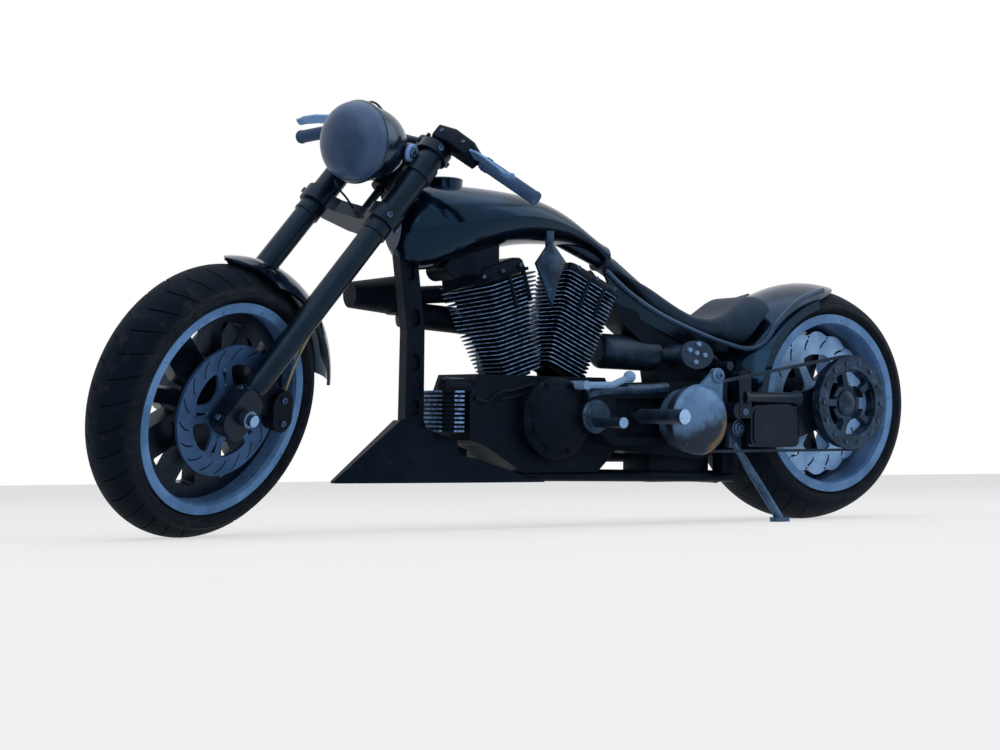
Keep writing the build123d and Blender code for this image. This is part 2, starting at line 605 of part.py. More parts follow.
def engine():
    """V-twin with its covers, on the crankcase."""
    e = ENGINE_X
    case = polygon([(e + 37, 0.2), (e + 34, 8), (e - 26, 8), (e - 32, -2), (e - 32, -20), (e - 23, -28.4),
                    (e + 13, -28.4), (e + 18.5, -25), (e + 30, -18.5), (e + 36.7, -16.3)])
    case = plate(case, -CASE_HALF, CASE_HALF)
    case += across(e, -8, -17, 17, 15.5) + across(e - 16, -6.9, 10, 20, 6.8)
    case += rod((e + 33, 10, 3), (e + 47, 10, 3), 2.9)
    for other in ("left_lower_rail", "right_lower_rail", "downtube", "chin_fairing"):
        case -= NODES[other]
    keep("crankcase", largest(case))
    crank = NODES["crankcase"]
    clear = block((e - 60, -30, -10), (e + 1.8, 30, 70))
    front = cylinder((e + 9.6, 9), 18, (16, 9.5, 10.6, -4.0, 9.5, 10.5), (6, 36.3, 14.7, 12), clear)
    keep("front_cylinder", largest(front - crank))
    clear = block((e + 0.8, -30, -10), (e + 60, 30, 70))
    rear = cylinder((e - 9.8, 10.5), -23, (14, 9.5, 11.4, -2.0, 9.5, 10.5), (6, 33.3, 13.45, 12), clear)
    keep("rear_cylinder", largest(rear - crank))
    overhead = NODES["fuel_tank"] + NODES["backbone"]
    keep("front_rocker_cover", largest(rocker((e + 23.4, 48.05), 18, 23, 3.0) - overhead - NODES["front_cylinder"]))
    keep("rear_rocker_cover", largest(rocker((e - 21.5, 47.25), -19, 24, 2.9) - overhead - NODES["rear_cylinder"]))
    shield = polygon([(e + 7.3, 47), (e + 0.4, 58.4), (e - 10.3, 49.6), (e + 0.5, 33.8), (e + 5.8, 42.2)])
    tab = block((e - 2, 12.8, 55), (e + 3, 14.4, 66))
    keep("horn_cover", largest(plate(shield, 12.8, 14.4) + tab - NODES["fuel_tank"]))
    intake = rod((e + 46, -22, 31), (e + 14, -15, 28.5), 5) + rod((e + 44, -22.5, 38), (e + 19, -15, 40), 3.4)
    cone = Cone(4.9, 8.0, 24.5, align=(Align.CENTER, Align.CENTER, Align.MIN))
    start, end = Vector(e + 67.5, -23, 37.2), Vector(e + 43, -23, 38.1)
    intake += Plane(origin=start, z_dir=end - start).location * cone
    intake += rod((e + 47, -22, 31), (e + 47, -22.6, 38), 4.5)
    keep("air_intake", largest(intake - NODES["front_cylinder"]))
    base = block((e + 37.02, -8, -13.4), (e + 40, 8, 1.7))
    for k in range(7):
        y = -8 + 14.8 / 6 * k
        base += block((e + 39, y, -13.4), (e + 47.5, y + 1.2, 1.7))
    keep("regulator", largest(base - crank))
    front_pipe = bent_tube([(e + 11, -8, 22), (e + 11, -18, 20), (e + 2, -19, -22.5), (PIVOT_X + 10, -19, -23)], 6, 2.8)
    rear_pipe = bent_tube([(e - 18, -8, 24), (e - 18, -18, 22), (e - 23, -19, -14.5), (PIVOT_X + 10, -19, -15)], 6, 2.8)
    pipes = [largest(pipe - NODES[name + "_cylinder"] - crank)
             for pipe, name in ((front_pipe, "front"), (rear_pipe, "rear"))]
    keep("exhaust_pipes", Compound(pipes))
    gearbox()


def gearbox():
    """Gearbox with its mesh panel, the oil tank above and the stud flange."""
    e = ENGINE_X
    rear = PIVOT_X - 2
    box = polygon([(e - 32.05, 6), (rear + 8, 8), (rear, 6), (rear, -18), (rear + 10, -24), (e - 32.05, -20)])
    body = plate(box, -12, 12) + block((rear, 11, -12), (rear + 6.8, 15.5, 9))
    body += across(PEG_X, PEG_Z, -PEG_ROOT, -11, PEG_RADIUS + 0.5)
    body -= across(PIVOT_X, PIVOT_Z, -20, 20, PIVOT_RADIUS) + NODES["backbone"]
    keep("gearbox", largest(body - NODES["crankcase"]))
    x = e - 71
    tank = rod((e - 32, 0, 19), (x + 9, 0, 18.5), 7)
    tank = fillet(tank.edges().filter_by(GeomType.CIRCLE), 2.5)
    tank += rod((x + 11, 0, 18.5), (x, 10, 18.2), 4) + across(x, 18.2, 9, 14.2, 4)
    tank += plate(Pos(x, 18.2) * Ellipse(8.5, 5.7), 14, 16)
    for dx, z in ((4.6, 20), (-0.1, 22.5), (0.9, 18.9), (-3.4, 18.2), (1.4, 15.3)):
        tank += across(x + dx, z, 15.5, 17.2, 0.9)
    keep("oil_tank", largest(tank - NODES["backbone"] - NODES["rear_cylinder"]))


def swingarm():
    """Left arm: ring at the pivot, tube, plate and the axle's carrier."""
    low, high = ARM_INNER, ARM_INNER + ARM_THICK
    middle = (low + high) / 2
    arm = across(PIVOT_X, PIVOT_Z, low, high, PIVOT_RADIUS + 2.6)
    arm += rod((PIVOT_X, middle, 0), (22, middle, 2), 2.4)
    arm += plate(polygon([(24, 1), (PIVOT_X, -0.8), (PIVOT_X, -9), (REAR_RADIUS, -18.7), (24, -14)]), low, high - 0.6)
    arm += plate(polygon([(24, 3), (8, 8.5), (-6, 8), (-10, 0), (-6, -8), (8, -9.5), (25, -14)]), low, high)
    return arm - across(PIVOT_X, PIVOT_Z, low - 2, high + 2, PIVOT_RADIUS + SEAT_GAP)


def drive_side():
    """Primary plate, covers, belt, swingarms, axle, pegs and foot controls."""
    e = ENGINE_X
    arm = swingarm()
    keep("left_swingarm", arm - across(0, 0, ARM_INNER - 1, ARM_INNER + ARM_THICK + 1, PULLEY_SLEEVE + 0.1))
    keep("right_swingarm", mirrored(arm - across(0, 0, ARM_INNER - 1, ARM_INNER + ARM_THICK + 1, REAR_AXLE)))
    nut_face = ARM_INNER + ARM_THICK + SEAT_GAP
    axle = across(0, 0, -nut_face, PULLEY_Y - 1.2, REAR_AXLE - SEAT_GAP)
    keep("rear_axle", axle + across(0, 0, -nut_face - 2.5, -nut_face, 4.2))
    pivot = across(PIVOT_X, PIVOT_Z, -ARM_INNER - ARM_THICK, ARM_INNER + ARM_THICK, PIVOT_RADIUS - SEAT_GAP)
    keep("swingarm_pivot", pivot)
    x, z = polar(23.6, 12)
    caliper = plate(Pos(x, z) * (Rot(0, 0, 102) * SlotOverall(14, 8)), -ARM_INNER, REAR_DISC_Y + 3.7)
    caliper -= across(0, 0, REAR_DISC_Y - 1.0, REAR_DISC_Y + 1.0, REAR_DISC + 0.5)
    keep("rear_caliper", largest(caliper - NODES["right_swingarm"]))
    keep("drive_belt", belt())
    plate_outline = polygon([(e - 13, 3), (e - 16, 5.6), (e - 52, 4.6), (e - 55, 0), (e - 55, -18), (e - 24, -18),
                             (e - 11, -9)])
    pocket = polygon([(e - 25, 0), (e - 50, 0.5), (e - 52, -3), (e - 52, -15), (e - 26, -15)])
    primary = plate(plate_outline, PLATE_INNER, PLATE_OUTER) - plate(pocket, PEG_ROOT, PLATE_OUTER + 1)
    keep("primary_plate", largest(primary - NODES["crankcase"]))
    cover = across(DRIVE_X, DRIVE_Z, PLATE_OUTER + SEAT_GAP, PULLEY_Y + 2.5, DRIVE_RADIUS - BELT_GAP)
    for step, radius in ((0.0, 13.8), (2.0, 12.6), (3.2, 10.5), (4.3, 7.0)):
        cover += across(DRIVE_X, DRIVE_Z, PULLEY_Y + 2.4 + step, PULLEY_Y + 4.4 + step * 0.8, radius)
    lug = polygon([(DRIVE_X - 11, DRIVE_Z + 8), (DRIVE_X - 11.3, DRIVE_Z + 18), (DRIVE_X - 5.5, DRIVE_Z + 18),
                   (DRIVE_X + 2, DRIVE_Z + 12)])
    cover += plate(lug, PULLEY_Y + 2.4, PULLEY_Y + 4.4)
    cover += across(DRIVE_X - 8.5, DRIVE_Z + 17.3, PULLEY_Y + 2.4, PULLEY_Y + 5.4, 3.0)
    keep("clutch_cover", cover)
    for side, sign in (("left", 1), ("right", -1)):
        peg = rod(peg_point(sign, PEG_ROOT), peg_point(sign, PEG_WALL + 0.5), PEG_NECK)
        peg += rod(peg_point(sign, PEG_WALL), peg_point(sign, PEG_TIP), PEG_RADIUS)
        keep(side + "_footpeg", peg - NODES["primary_plate"] - NODES["gearbox"])
    foot_controls()


def foot_controls():
    """Short pegs, the shift lever on the left and the brake pedal on the right."""
    e = ENGINE_X
    solids = []
    for sign, y in ((1, 22.4), (-1, 24.0)):
        blockers = NODES["primary_plate"] + NODES["crankcase"]
        solids.append(largest(across(e - 15, -9.3, sign * 12, sign * 38.5, 2.0) - blockers))
        lever = bent_tube([(e - 9.2, sign * y, 4.7), (e - 22.3, sign * y, 5), (e - 30.6, sign * y, 8.3)], 3, 1.3)
        lever += Pos(e - 30.6, sign * y, 8.3) * Sphere(2.4)
        lever += across(e - 9.2, 4.7, sign * 12, sign * (y + 1.2), 1.7)
        solids.append(largest(lever - blockers))
    keep("foot_controls", Compound(solids))


def peg_point(sign, reach):
    """Point of a foot peg's axis at a distance from the middle; the pegs sweep back."""
    return PEG_X - tan(radians(PEG_SWEEP)) * (reach - PLATE_OUTER), sign * reach, PEG_Z


def peg_axis(aim, sign):
    """Parked direction of a foot peg, outwards."""
    return aim(Vector(*peg_point(sign, PEG_TIP)) - Vector(*peg_point(sign, PEG_ROOT))).normalized()


def belt():
    """Closed belt round both pulleys."""
    loops = []
    distance = hypot(DRIVE_X, DRIVE_Z)
    tilt = atan2(DRIVE_Z, DRIVE_X)
    for grow in (BELT_THICK, 0.0):
        big, small = PULLEY_RADIUS + BELT_GAP + grow, DRIVE_RADIUS + grow
        spread = pi / 2 - asin((big - small) / distance)
        hull = []
        for centre, r, start, end in (((0, 0), big, tilt + spread, tilt + 2 * pi - spread),
                                      ((DRIVE_X, DRIVE_Z), small, tilt - spread, tilt + spread)):
            hull.append([(centre[0] + r * cos(a), centre[1] + r * sin(a))
                         for a in (start, (start + end) / 2, end)])
        first, second = hull
        loops.append(make_face([ThreePointArc(*first), Line(first[2], second[0]), ThreePointArc(*second),
                                Line(second[2], first[0])]))
    ring = loops[0] - loops[1]
    return plate(ring, PULLEY_Y - BELT_WIDTH / 2, PULLEY_Y + BELT_WIDTH / 2)


# Parking

def steered(shape):
    """Fork frame to the machine's frame, turned to the left stop."""
    x, y, z = stem_point(0)
    return Plane(origin=(x, y, z), x_dir=(cos(radians(RAKE)), 0, sin(radians(RAKE))),
                 z_dir=(-sin(radians(RAKE)), 0, cos(radians(RAKE)))).location * (Rot(0, 0, STEERING_STOP) * shape)


def steered_vector(ahead, left, along):
    """The same for a direction."""
    turn, rake = radians(STEERING_STOP), radians(RAKE)
    a = ahead * cos(turn) - left * sin(turn)
    y = ahead * sin(turn) + left * cos(turn)
    return Vector(a * cos(rake) - along * sin(rake), y, a * sin(rake) + along * cos(rake))


def lowest(centre, axle, up, radius, crown):
    """Height of a tyre's lowest point along the ground's normal."""
    lean = axle.dot(up)
    return centre.dot(up) - (radius - crown) * sqrt(1 - lean ** 2) - crown


def ground():
    """Normal and height of the ground in the machine's frame."""
    lean = radians(PARKED_LEAN)
    turn = steered_vector(AXLE_AHEAD_OF_STEM, 0, 0)
    front = Vector(*stem_point(0)) + turn
    pitch = 0.0
    for _ in range(20):
        up = Vector(-sin(pitch), -sin(lean) * cos(pitch), cos(lean) * cos(pitch))
        rear_low = lowest(Vector(0, 0, 0), Vector(0, 1, 0), up, REAR_RADIUS, REAR_CROWN)
        front_low = lowest(front, steered_vector(0, 1, 0), up, FRONT_RADIUS, FRONT_CROWN)
        pitch += (front_low - rear_low) / WHEELBASE
    return up, rear_low


def side_stand(up, level):
    """Steel leg on a flat strap, with a round foot on the ground, and its bracket."""
    x, y = STAND_FOOT
    z = (level - up.X * x - up.Y * y) / up.Z
    px, py, pz = STAND_PIVOT
    strap = py + 0.3
    leg = rod((px - 0.9, strap + 1.1, pz - 7), (x, y, z + 1.2), STAND_RADIUS)
    foot = Plane(origin=(x, y, z), x_dir=(1, 0, 0), z_dir=up).location * \
        Cylinder(FOOT_RADIUS, FOOT_THICK, align=(Align.CENTER, Align.CENTER, Align.MIN))
    eye = across(px, pz, strap, py + 4.6, STAND_BOSS) + block((px - 3.3, strap, pz - 8), (px + 3.3, strap + 2.2, pz))
    eye += Pos(px - 0.9, strap + 1.1, pz - 7) * Sphere(STAND_RADIUS)
    keep("side_stand", leg + foot + eye - across(px, pz, py - 1, py + 6, STAND_PIN + 0.2))
    rail_top = RAIL_Z + RAIL_RADIUS
    bracket = plate(polygon([(px - 4.4, rail_top - 2), (px + 4, rail_top - 2), (px + 4, pz + 3), (px - 4.4, pz + 3)]),
                    RAIL_SPACING, py - 0.6)
    bracket += across(px, pz, py - 1, py + 5.4, STAND_PIN)
    bracket += block((px - 7.4, 12.5, pz - 6), (px - 3.4, py + 2.5, pz - 1.2))
    for other in ("left_lower_rail", "gearbox", "swingarm_pivot"):
        bracket -= NODES[other]
    keep("stand_bracket", largest(bracket))


def main():
    """Build every piece, park the machine and write the files."""
    rear_wheel()
    front_wheel()
    front_end()
    frame()
    tank_and_seat()
    engine()
    drive_side()
    up, level = ground()
    side_stand(up, level)
    pieces = dict(NODES)
    for name, shape in FRONT_NODES.items():
        pieces[name] = steered(shape)
    side = Vector(0, 1, 0)
    forward = side.cross(up).normalized()
    parked = Plane(origin=up * level, x_dir=forward, z_dir=up)
    stand = Location(parked).inverse()
    pieces = {name: stand * shape for name, shape in pieces.items()}
    boxes = [shape.bounding_box() for shape in pieces.values()]
    low = [min(getattr(b.min, c) for b in boxes) for c in "XYZ"]
    high = [max(getattr(b.max, c) for b in boxes) for c in "XYZ"]
    shift = Pos(-(low[0] + high[0]) / 2, -(low[1] + high[1]) / 2, -low[2])
    os.makedirs("parts", exist_ok=True)
    for name, shape in sorted(pieces.items()):
        export_step(shift * shape, "parts/" + name + ".step")
    move = shift * stand

    def place(vector):
        """Point of the machine's frame where it stands when parked."""
        return (move * Pos(*vector)).position

    def aim(vector):
        """Direction of the machine's frame when parked."""
        return place(vector) - place(Vector(0, 0, 0))

    wall = (PEG_WALL + PEG_TIP) / 2
    rows = [("steering", place(Vector(*stem_point(0))), aim(steered_vector(0, 0, 1))),
            ("front_wheel", place(Vector(*stem_point(0)) + steered_vector(AXLE_AHEAD_OF_STEM, 0, 0)),
             aim(steered_vector(0, 1, 0))),
            ("rear_wheel", place(Vector(0, 0, 0)), aim(Vector(0, 1, 0))),
            ("side_stand", place(Vector(*STAND_PIVOT)), aim(Vector(0, 1, 0))),
            ("left_footpeg", place(Vector(*peg_point(1, wall))), peg_axis(aim, 1)),
            ("right_footpeg", place(Vector(*peg_point(-1, wall))), peg_axis(aim, -1)),
            ("belt_low", place(Vector(24, PULLEY_Y, -12)), aim(Vector(1, 0, 0))),
            ("belt_high", place(Vector(DRIVE_X - 16, PULLEY_Y, 6)), aim(Vector(0, 0, 1)))]
    for name, point, axis in rows:
        print(name, [round(v, 4) for v in point], [round(v, 6) for v in axis])
    print("peg wall", round((PEG_TIP - PEG_WALL) / cos(radians(PEG_SWEEP)), 3))
    print("size", [round(h - l, 3) for l, h in zip(low, high)], "low", [round(v, 3) for v in low])
    print("nodes", len(pieces))


main()
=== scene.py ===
"""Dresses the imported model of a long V-twin chopper and lights it in a plain studio.

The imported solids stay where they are. Each class here holds one sub-assembly: it gives
the solids their finishes and adds the treads, screws, rings and wires that are too fine
for them. Sizes are in millimetres in the frame that a piece is drawn in, and a matrix
takes them to the model's metres.
"""
import json
import logging
import math
from dataclasses import dataclass
from enum import Enum
from typing import Callable, ClassVar, Iterable, Optional, Sequence, Union

import bmesh
import bpy
from mathutils import Matrix, Vector

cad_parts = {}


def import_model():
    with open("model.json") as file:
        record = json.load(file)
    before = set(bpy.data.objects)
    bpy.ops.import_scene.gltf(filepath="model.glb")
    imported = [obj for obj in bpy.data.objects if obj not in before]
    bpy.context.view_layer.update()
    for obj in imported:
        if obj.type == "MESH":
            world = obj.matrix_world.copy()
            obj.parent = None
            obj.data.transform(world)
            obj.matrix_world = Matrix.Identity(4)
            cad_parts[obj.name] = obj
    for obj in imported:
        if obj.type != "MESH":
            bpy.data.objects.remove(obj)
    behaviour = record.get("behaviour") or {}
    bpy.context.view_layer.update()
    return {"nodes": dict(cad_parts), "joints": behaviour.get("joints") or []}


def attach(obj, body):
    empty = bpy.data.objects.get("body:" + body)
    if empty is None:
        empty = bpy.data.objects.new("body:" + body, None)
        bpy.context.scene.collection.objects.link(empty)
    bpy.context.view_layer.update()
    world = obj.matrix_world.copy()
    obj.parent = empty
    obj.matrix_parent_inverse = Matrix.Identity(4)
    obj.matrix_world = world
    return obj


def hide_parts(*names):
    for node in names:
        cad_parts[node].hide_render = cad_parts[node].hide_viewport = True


Colour = tuple[float, float, float]
Point = Sequence[float]
Number = Union[float, "Value"]

LOG = logging.getLogger("chopper")
MILLIMETRE = 0.001
SHARP = math.radians(32.0)

# Rake of the fork in degrees, and the axle and the lamp ahead of and up the steering axis
RAKE = 39.3
AXLE_AHEAD = 3.7
LAMP_AHEAD = 24.5
LAMP_UP = 103.9

# Middle of the crankcase and of the clutch cover, ahead of and above the rear axle
ENGINE_X = 144.0
CASE_Z = -8.0
CLUTCH_X = ENGINE_X - 58.3
CLUTCH_Z = -7.8


class Body(Enum):
    """Bodies of the model that move on their own."""

    FRAME = "frame"
    FORK = "front_end"
    FRONT_WHEEL = "front_wheel"
    REAR_WHEEL = "rear_wheel"
    STAND = "side_stand"


class Slot(Enum):
    """Material slots of the record, one named with each added piece."""

    TYRE = "tyre"
    LENS = "lens"
    DISC = "disc_silver"
    HOSE = "hose_yellow"
    GLOSS = "gloss_black"
    FINS = "fins"
    STEEL = "bare_steel"
    WORN = "worn_silver"
    BAR = "black_steel"
    RUBBER = "rubber_black"
    SATIN = "satin_black"


class Side(Enum):
    """Sides of the machine, as the sign of the distance to its left."""

    LEFT = 1
    RIGHT = -1


# Shader maths

class Value:
    """A shader socket that takes part in arithmetic."""

    def __init__(self, shader: "Shader", socket: bpy.types.NodeSocket) -> None:
        """Wrap one output socket of a shader."""
        self.shader = shader
        self.socket = socket

    def _math(self, operation: str, first: Number, second: Number = 0.0) -> "Value":
        """Join two values in a Math node."""
        return self.shader.node("ShaderNodeMath", {"operation": operation}, {0: first, 1: second})

    def __add__(self, other: Number) -> "Value":
        """Add a value or a number."""
        return self._math("ADD", self, other)

    def __radd__(self, other: Number) -> "Value":
        """Add this value to a number."""
        return self._math("ADD", other, self)

    def __sub__(self, other: Number) -> "Value":
        """Take a value or a number away."""
        return self._math("SUBTRACT", self, other)

    def __rsub__(self, other: Number) -> "Value":
        """Take this value from a number."""
        return self._math("SUBTRACT", other, self)

    def __mul__(self, other: Number) -> "Value":
        """Multiply by a value or a number."""
        return self._math("MULTIPLY", self, other)

    def __rmul__(self, other: Number) -> "Value":
        """Multiply a number by this value."""
        return self._math("MULTIPLY", other, self)

    def __truediv__(self, other: Number) -> "Value":
        """Divide by a value or a number."""
        return self._math("DIVIDE", self, other)

    def __rtruediv__(self, other: Number) -> "Value":
        """Divide a number by this value."""
        return self._math("DIVIDE", other, self)

    def __abs__(self) -> "Value":
        """Distance from zero."""
        return self._math("ABSOLUTE", self)

    def highest(self, other: Number) -> "Value":
        """The higher of this value and another."""
        return self._math("MAXIMUM", self, other)

    def power(self, other: Number) -> "Value":
        """This value raised to a power."""
        return self._math("POWER", self, other)

    def wave(self) -> "Value":
        """Sine of this value, in radians."""
        return self._math("SINE", self)

    def angle(self, other: "Value") -> "Value":
        """Angle whose tangent is this value over another."""
        return self._math("ARCTAN2", self, other)

    def between(self, low: float, high: float) -> "Value":
        """Smooth step from 0 at one value to 1 at another.

        Args:
            low: the value that gives 0.
            high: the value that gives 1; it may be the lower of the two.

        Returns:
            The step, kept within 0 and 1.
        """
        return self.shader.node("ShaderNodeMapRange",
                                {"interpolation_type": "SMOOTHSTEP", "clamp": True},
                                {0: self, 1: low, 2: high, 3: 0.0, 4: 1.0})


class Shader:
    """A material's node tree, with the few nodes that the finishes share."""

    def __init__(self, name: str) -> None:
        """Start an empty material.

        Args:
            name: the material's name.
        """
        self.material = bpy.data.materials.new(name)
        self.material.use_nodes = True
        self.tree = self.material.node_tree
        self.tree.nodes.clear()
        self.place = self.node("ShaderNodeTexCoord", {}, {}, "Object")
        self.normal = self.node("ShaderNodeTexCoord", {}, {}, "Normal")

    def node(self, kind: str, settings: dict, inputs: dict, output: Union[int, str] = 0) -> Value:
        """Add a node, set it up, and join its inputs.

        Args:
            kind: the node's type.
            settings: its own settings, set first.
            inputs: a number, colour or value for each socket, by name or place.
            output: the output socket to give back.

        Returns:
            That output as a value.
        """
        made = self.tree.nodes.new(kind)
        for name, setting in settings.items():
            setattr(made, name, setting)
        for name, given in inputs.items():
            if isinstance(given, Value):
                self.tree.links.new(given.socket, made.inputs[name])
            else:
                made.inputs[name].default_value = given
        return Value(self, made.outputs[output])

    def vector(self, operation: str, first: Union[Point, Value],
               second: Union[Point, Value]) -> Value:
        """Join two vectors in a Vector Math node.

        Args:
            operation: what the node does.
            first: the first vector.
            second: the second vector.

        Returns:
            The vector, or the number where the operation gives one.
        """
        output = "Value" if operation == "DOT_PRODUCT" else "Vector"
        return self.node("ShaderNodeVectorMath", {"operation": operation},
                         {0: first, 1: second}, output)

    def mix(self, share: Number, first: Union[Colour, Value],
            second: Union[Colour, Value]) -> Value:
        """Mix two colours.

        Args:
            share: how much of the second shows.
            first: the colour at 0.
            second: the colour at 1.

        Returns:
            The mixed colour.
        """
        colours = [c if isinstance(c, Value) else (*c, 1.0) for c in (first, second)]
        return self.node("ShaderNodeMix", {"data_type": "RGBA", "clamp_factor": True},
                         {0: share, 6: colours[0], 7: colours[1]}, 2)

    def noise(self, scale: float, detail: float = 3.0, where: Optional[Value] = None) -> Value:
        """Soft noise over the surface.

        Args:
            scale: blotches to a metre.
            detail: how much finer noise is laid over it.
            where: the coordinates, or None for the object's own.

        Returns:
            The noise, about a half in the middle.
        """
        return self.node("ShaderNodeTexNoise", {},
                         {"Vector": where or self.place, "Scale": scale,
                          "Detail": detail, "Roughness": 0.6})

    def cells(self, scale: float) -> Value:
        """Distance to the edge of each of a pattern's cells, of which scale fit in a metre."""
        return self.node("ShaderNodeTexVoronoi", {"feature": "DISTANCE_TO_EDGE"},
                         {"Vector": self.place, "Scale": scale}, "Distance")

    def local(self, matrix: Matrix, direction: bool = False) -> tuple[Value, Value, Value]:
        """Coordinates in the frame that a piece was drawn in.

        Args:
            matrix: that frame, from millimetres to metres.
            direction: whether to give the surface's normal and not its place.

        Returns:
            Three values: millimetres, or parts of a unit normal.
        """
        found = []
        for k in range(3):
            axis = Vector(matrix.col[k][:3]).normalized()
            if direction:
                found.append(self.vector("DOT_PRODUCT", self.normal, axis))
            else:
                along = self.vector("DOT_PRODUCT", self.place, axis)
                found.append((along - axis.dot(matrix.translation)) / MILLIMETRE)
        return found[0], found[1], found[2]

    def triple(self, first: Number, second: Number, third: Number) -> Value:
        """Vector from its three parts."""
        return self.node("ShaderNodeCombineXYZ", {}, {0: first, 1: second, 2: third})

    def bump(self, height: Value, strength: float, depth: float) -> Value:
        """Normal of a relief that goes from 0 to 1, where 1 stands for a depth in millimetres."""
        return self.node("ShaderNodeBump", {},
                         {"Strength": strength, "Distance": depth * MILLIMETRE, "Height": height})

    def surface(self, inputs: dict) -> bpy.types.Material:
        """Close the tree with a shader surface.

        Args:
            inputs: the shader's sockets by name.

        Returns:
            The finished material.
        """
        shader = self.node("ShaderNodeBsdfPrincipled", {}, inputs, "BSDF")
        self.node_output(shader)
        return self.material

    def node_output(self, shader: Value) -> None:
        """Join a shader to the material's output."""
        made = self.tree.nodes.new("ShaderNodeOutputMaterial")
        self.tree.links.new(shader.socket, made.inputs["Surface"])


# Finishes

@dataclass(frozen=True)
class Finish:
    """Two tones broken up by blotches, with fine grain, rubs, and settled dust on up-facing
    surfaces that on the gloss black is a painted blue sky reflection.
    """

    name: str
    tone: Colour
    second: Colour
    blotches: float = 70.0
    rough: tuple[float, float] = (0.35, 0.5)
    metal: float = 0.0
    coat: float = 0.0
    grain: float = 1500.0
    relief: float = 0.2
    depth: float = 0.05
    dust_and_painted_sheen: float = 0.0
    dust_and_painted_sheen_tone: Colour = (0.07, 0.1, 0.15)
    rubs: float = 0.0
    rub_tone: Colour = (0.3, 0.34, 0.4)
    shine: float = 0.3
    sheen_tone: Colour = (0.35, 0.62, 1.0)

    def tint(self, shader: Shader, base: Value) -> Value:
        """Colour of the whole surface, before the dust and painted sheen; plain finishes leave it.
        """
        return base

    def height(self, shader: Shader) -> Value:
        """Relief of the surface."""
        return shader.noise(self.grain, 4.0)

    def make(self) -> bpy.types.Material:
        """Build the material.

        Returns:
            The material, ready to be put on a piece.
        """
        shader = Shader(self.name)
        blotch = shader.noise(self.blotches, 5.0)
        colour = shader.mix(blotch.between(0.38, 0.66), self.tone, self.second)
        rub = shader.noise(self.blotches * 4.0, 8.0).between(0.6, 0.68) * self.rubs
        colour = self.tint(shader, shader.mix(rub, colour, self.rub_tone))
        # Up-facing tone: settled dust, which on the gloss black is a painted blue sky reflection on
        # the tops.
        up = shader.vector("DOT_PRODUCT", shader.normal, (0.0, 0.0, 1.0)).between(-0.1, 0.9)
        settled_dust_and_painted_sheen = up * shader.noise(self.blotches * 1.7, 8.0).between(0.35, 0.75) * self.dust_and_painted_sheen
        specks = shader.noise(2600.0, 2.0).between(0.66, 0.72) * (self.dust_and_painted_sheen * 0.8)
        colour = shader.mix(settled_dust_and_painted_sheen.highest(specks), colour, self.dust_and_painted_sheen_tone)
        low, high = self.rough
        roughness = low + blotch * (high - low) + settled_dust_and_painted_sheen * 0.3 + rub * 0.15
        return shader.surface({"Base Color": colour, "Roughness": roughness,
                               "Metallic": self.metal, "Coat Weight": self.coat,
                               "Coat Roughness": 0.08,
                               "Specular IOR Level": self.shine,
                               "Specular Tint": (*self.sheen_tone, 1.0),
                               "Normal": shader.bump(self.height(shader), self.relief, self.depth)})


@dataclass(frozen=True)
class Painted(Finish):
    """Silver paint laid round a wheel by hand, with the strokes left in it."""

    centre: Optional[Matrix] = None
    strokes: float = 7.0
    stain: Colour = (0.05, 0.06, 0.08)

    def around(self, shader: Shader) -> Value:
        """Coordinates that run round the wheel.

        Args:
            shader: the material's nodes.

        Returns:
            Angle, distance from the axle and distance across, as one vector.
        """
        x, y, z = shader.local(self.centre)
        reach = (x * x + z * z).power(0.5)
        return shader.triple(z.angle(x) * 1.6, reach * 1.4, y * 0.9)

    def tint(self, shader: Shader, base: Value) -> Value:
        """Darken the paint in strokes and stain it where it has chipped.

        Args:
            shader: the material's nodes.
            base: the paint.

        Returns:
            The worked colour.
        """
        strokes = shader.noise(self.strokes * 0.35, 6.0, self.around(shader)).between(0.35, 0.7)
        chips = shader.noise(420.0, 7.0).between(0.63, 0.67)
        return shader.mix(chips * 0.8, shader.mix(strokes * 0.45, base, self.second), self.stain)

    def height(self, shader: Shader) -> Value:
        """Ridges of the brush."""
        return shader.noise(self.strokes, 5.0, self.around(shader))


@dataclass(frozen=True)
class Turned(Painted):
    """Metal brushed in circles about the axle."""

    def tint(self, shader: Shader, base: Value) -> Value:
        """Fine bright and dark rings."""
        rings = shader.noise(2.2, 8.0, self.around(shader)).between(0.3, 0.75)
        return shader.mix(rings * 0.5, base, self.second)


@dataclass(frozen=True)
class Rubber(Finish):
    """Tyre rubber, paler and scuffed on the sidewall."""

    centre: Optional[Matrix] = None
    tread_from: float = 40.0
    wall_tone: Colour = (0.03, 0.034, 0.04)

    def tint(self, shader: Shader, base: Value) -> Value:
        """Pale the sidewall and scuff it in rings.

        Args:
            shader: the material's nodes.
            base: the rubber.

        Returns:
            The worked colour.
        """
        x, _, z = shader.local(self.centre)
        reach = (x * x + z * z).power(0.5)
        wall = reach.between(self.tread_from + 1.5, self.tread_from - 1.5)
        rings = shader.noise(3.0, 6.0, shader.triple(z.angle(x) * 2.0, reach * 2.2,
                                                     0.0)).between(0.35, 0.75)
        scuffs = shader.noise(160.0, 9.0).between(0.55, 0.66)
        base = shader.mix(wall * rings * 0.8, base, self.wall_tone)
        return shader.mix(scuffs * 0.35, base, self.wall_tone)


@dataclass(frozen=True)
class Regions(Finish):
    """A finish with a second metal on the parts that a rule picks out."""

    rule: Optional[Callable[[Shader], Value]] = None
    other: Colour = (0.45, 0.52, 0.62)

    def tint(self, shader: Shader, base: Value) -> Value:
        """Lay the second metal where the rule says."""
        return shader.mix(self.rule(shader) * shader.noise(500.0, 6.0).between(0.2, 0.45),
                          base, self.other)


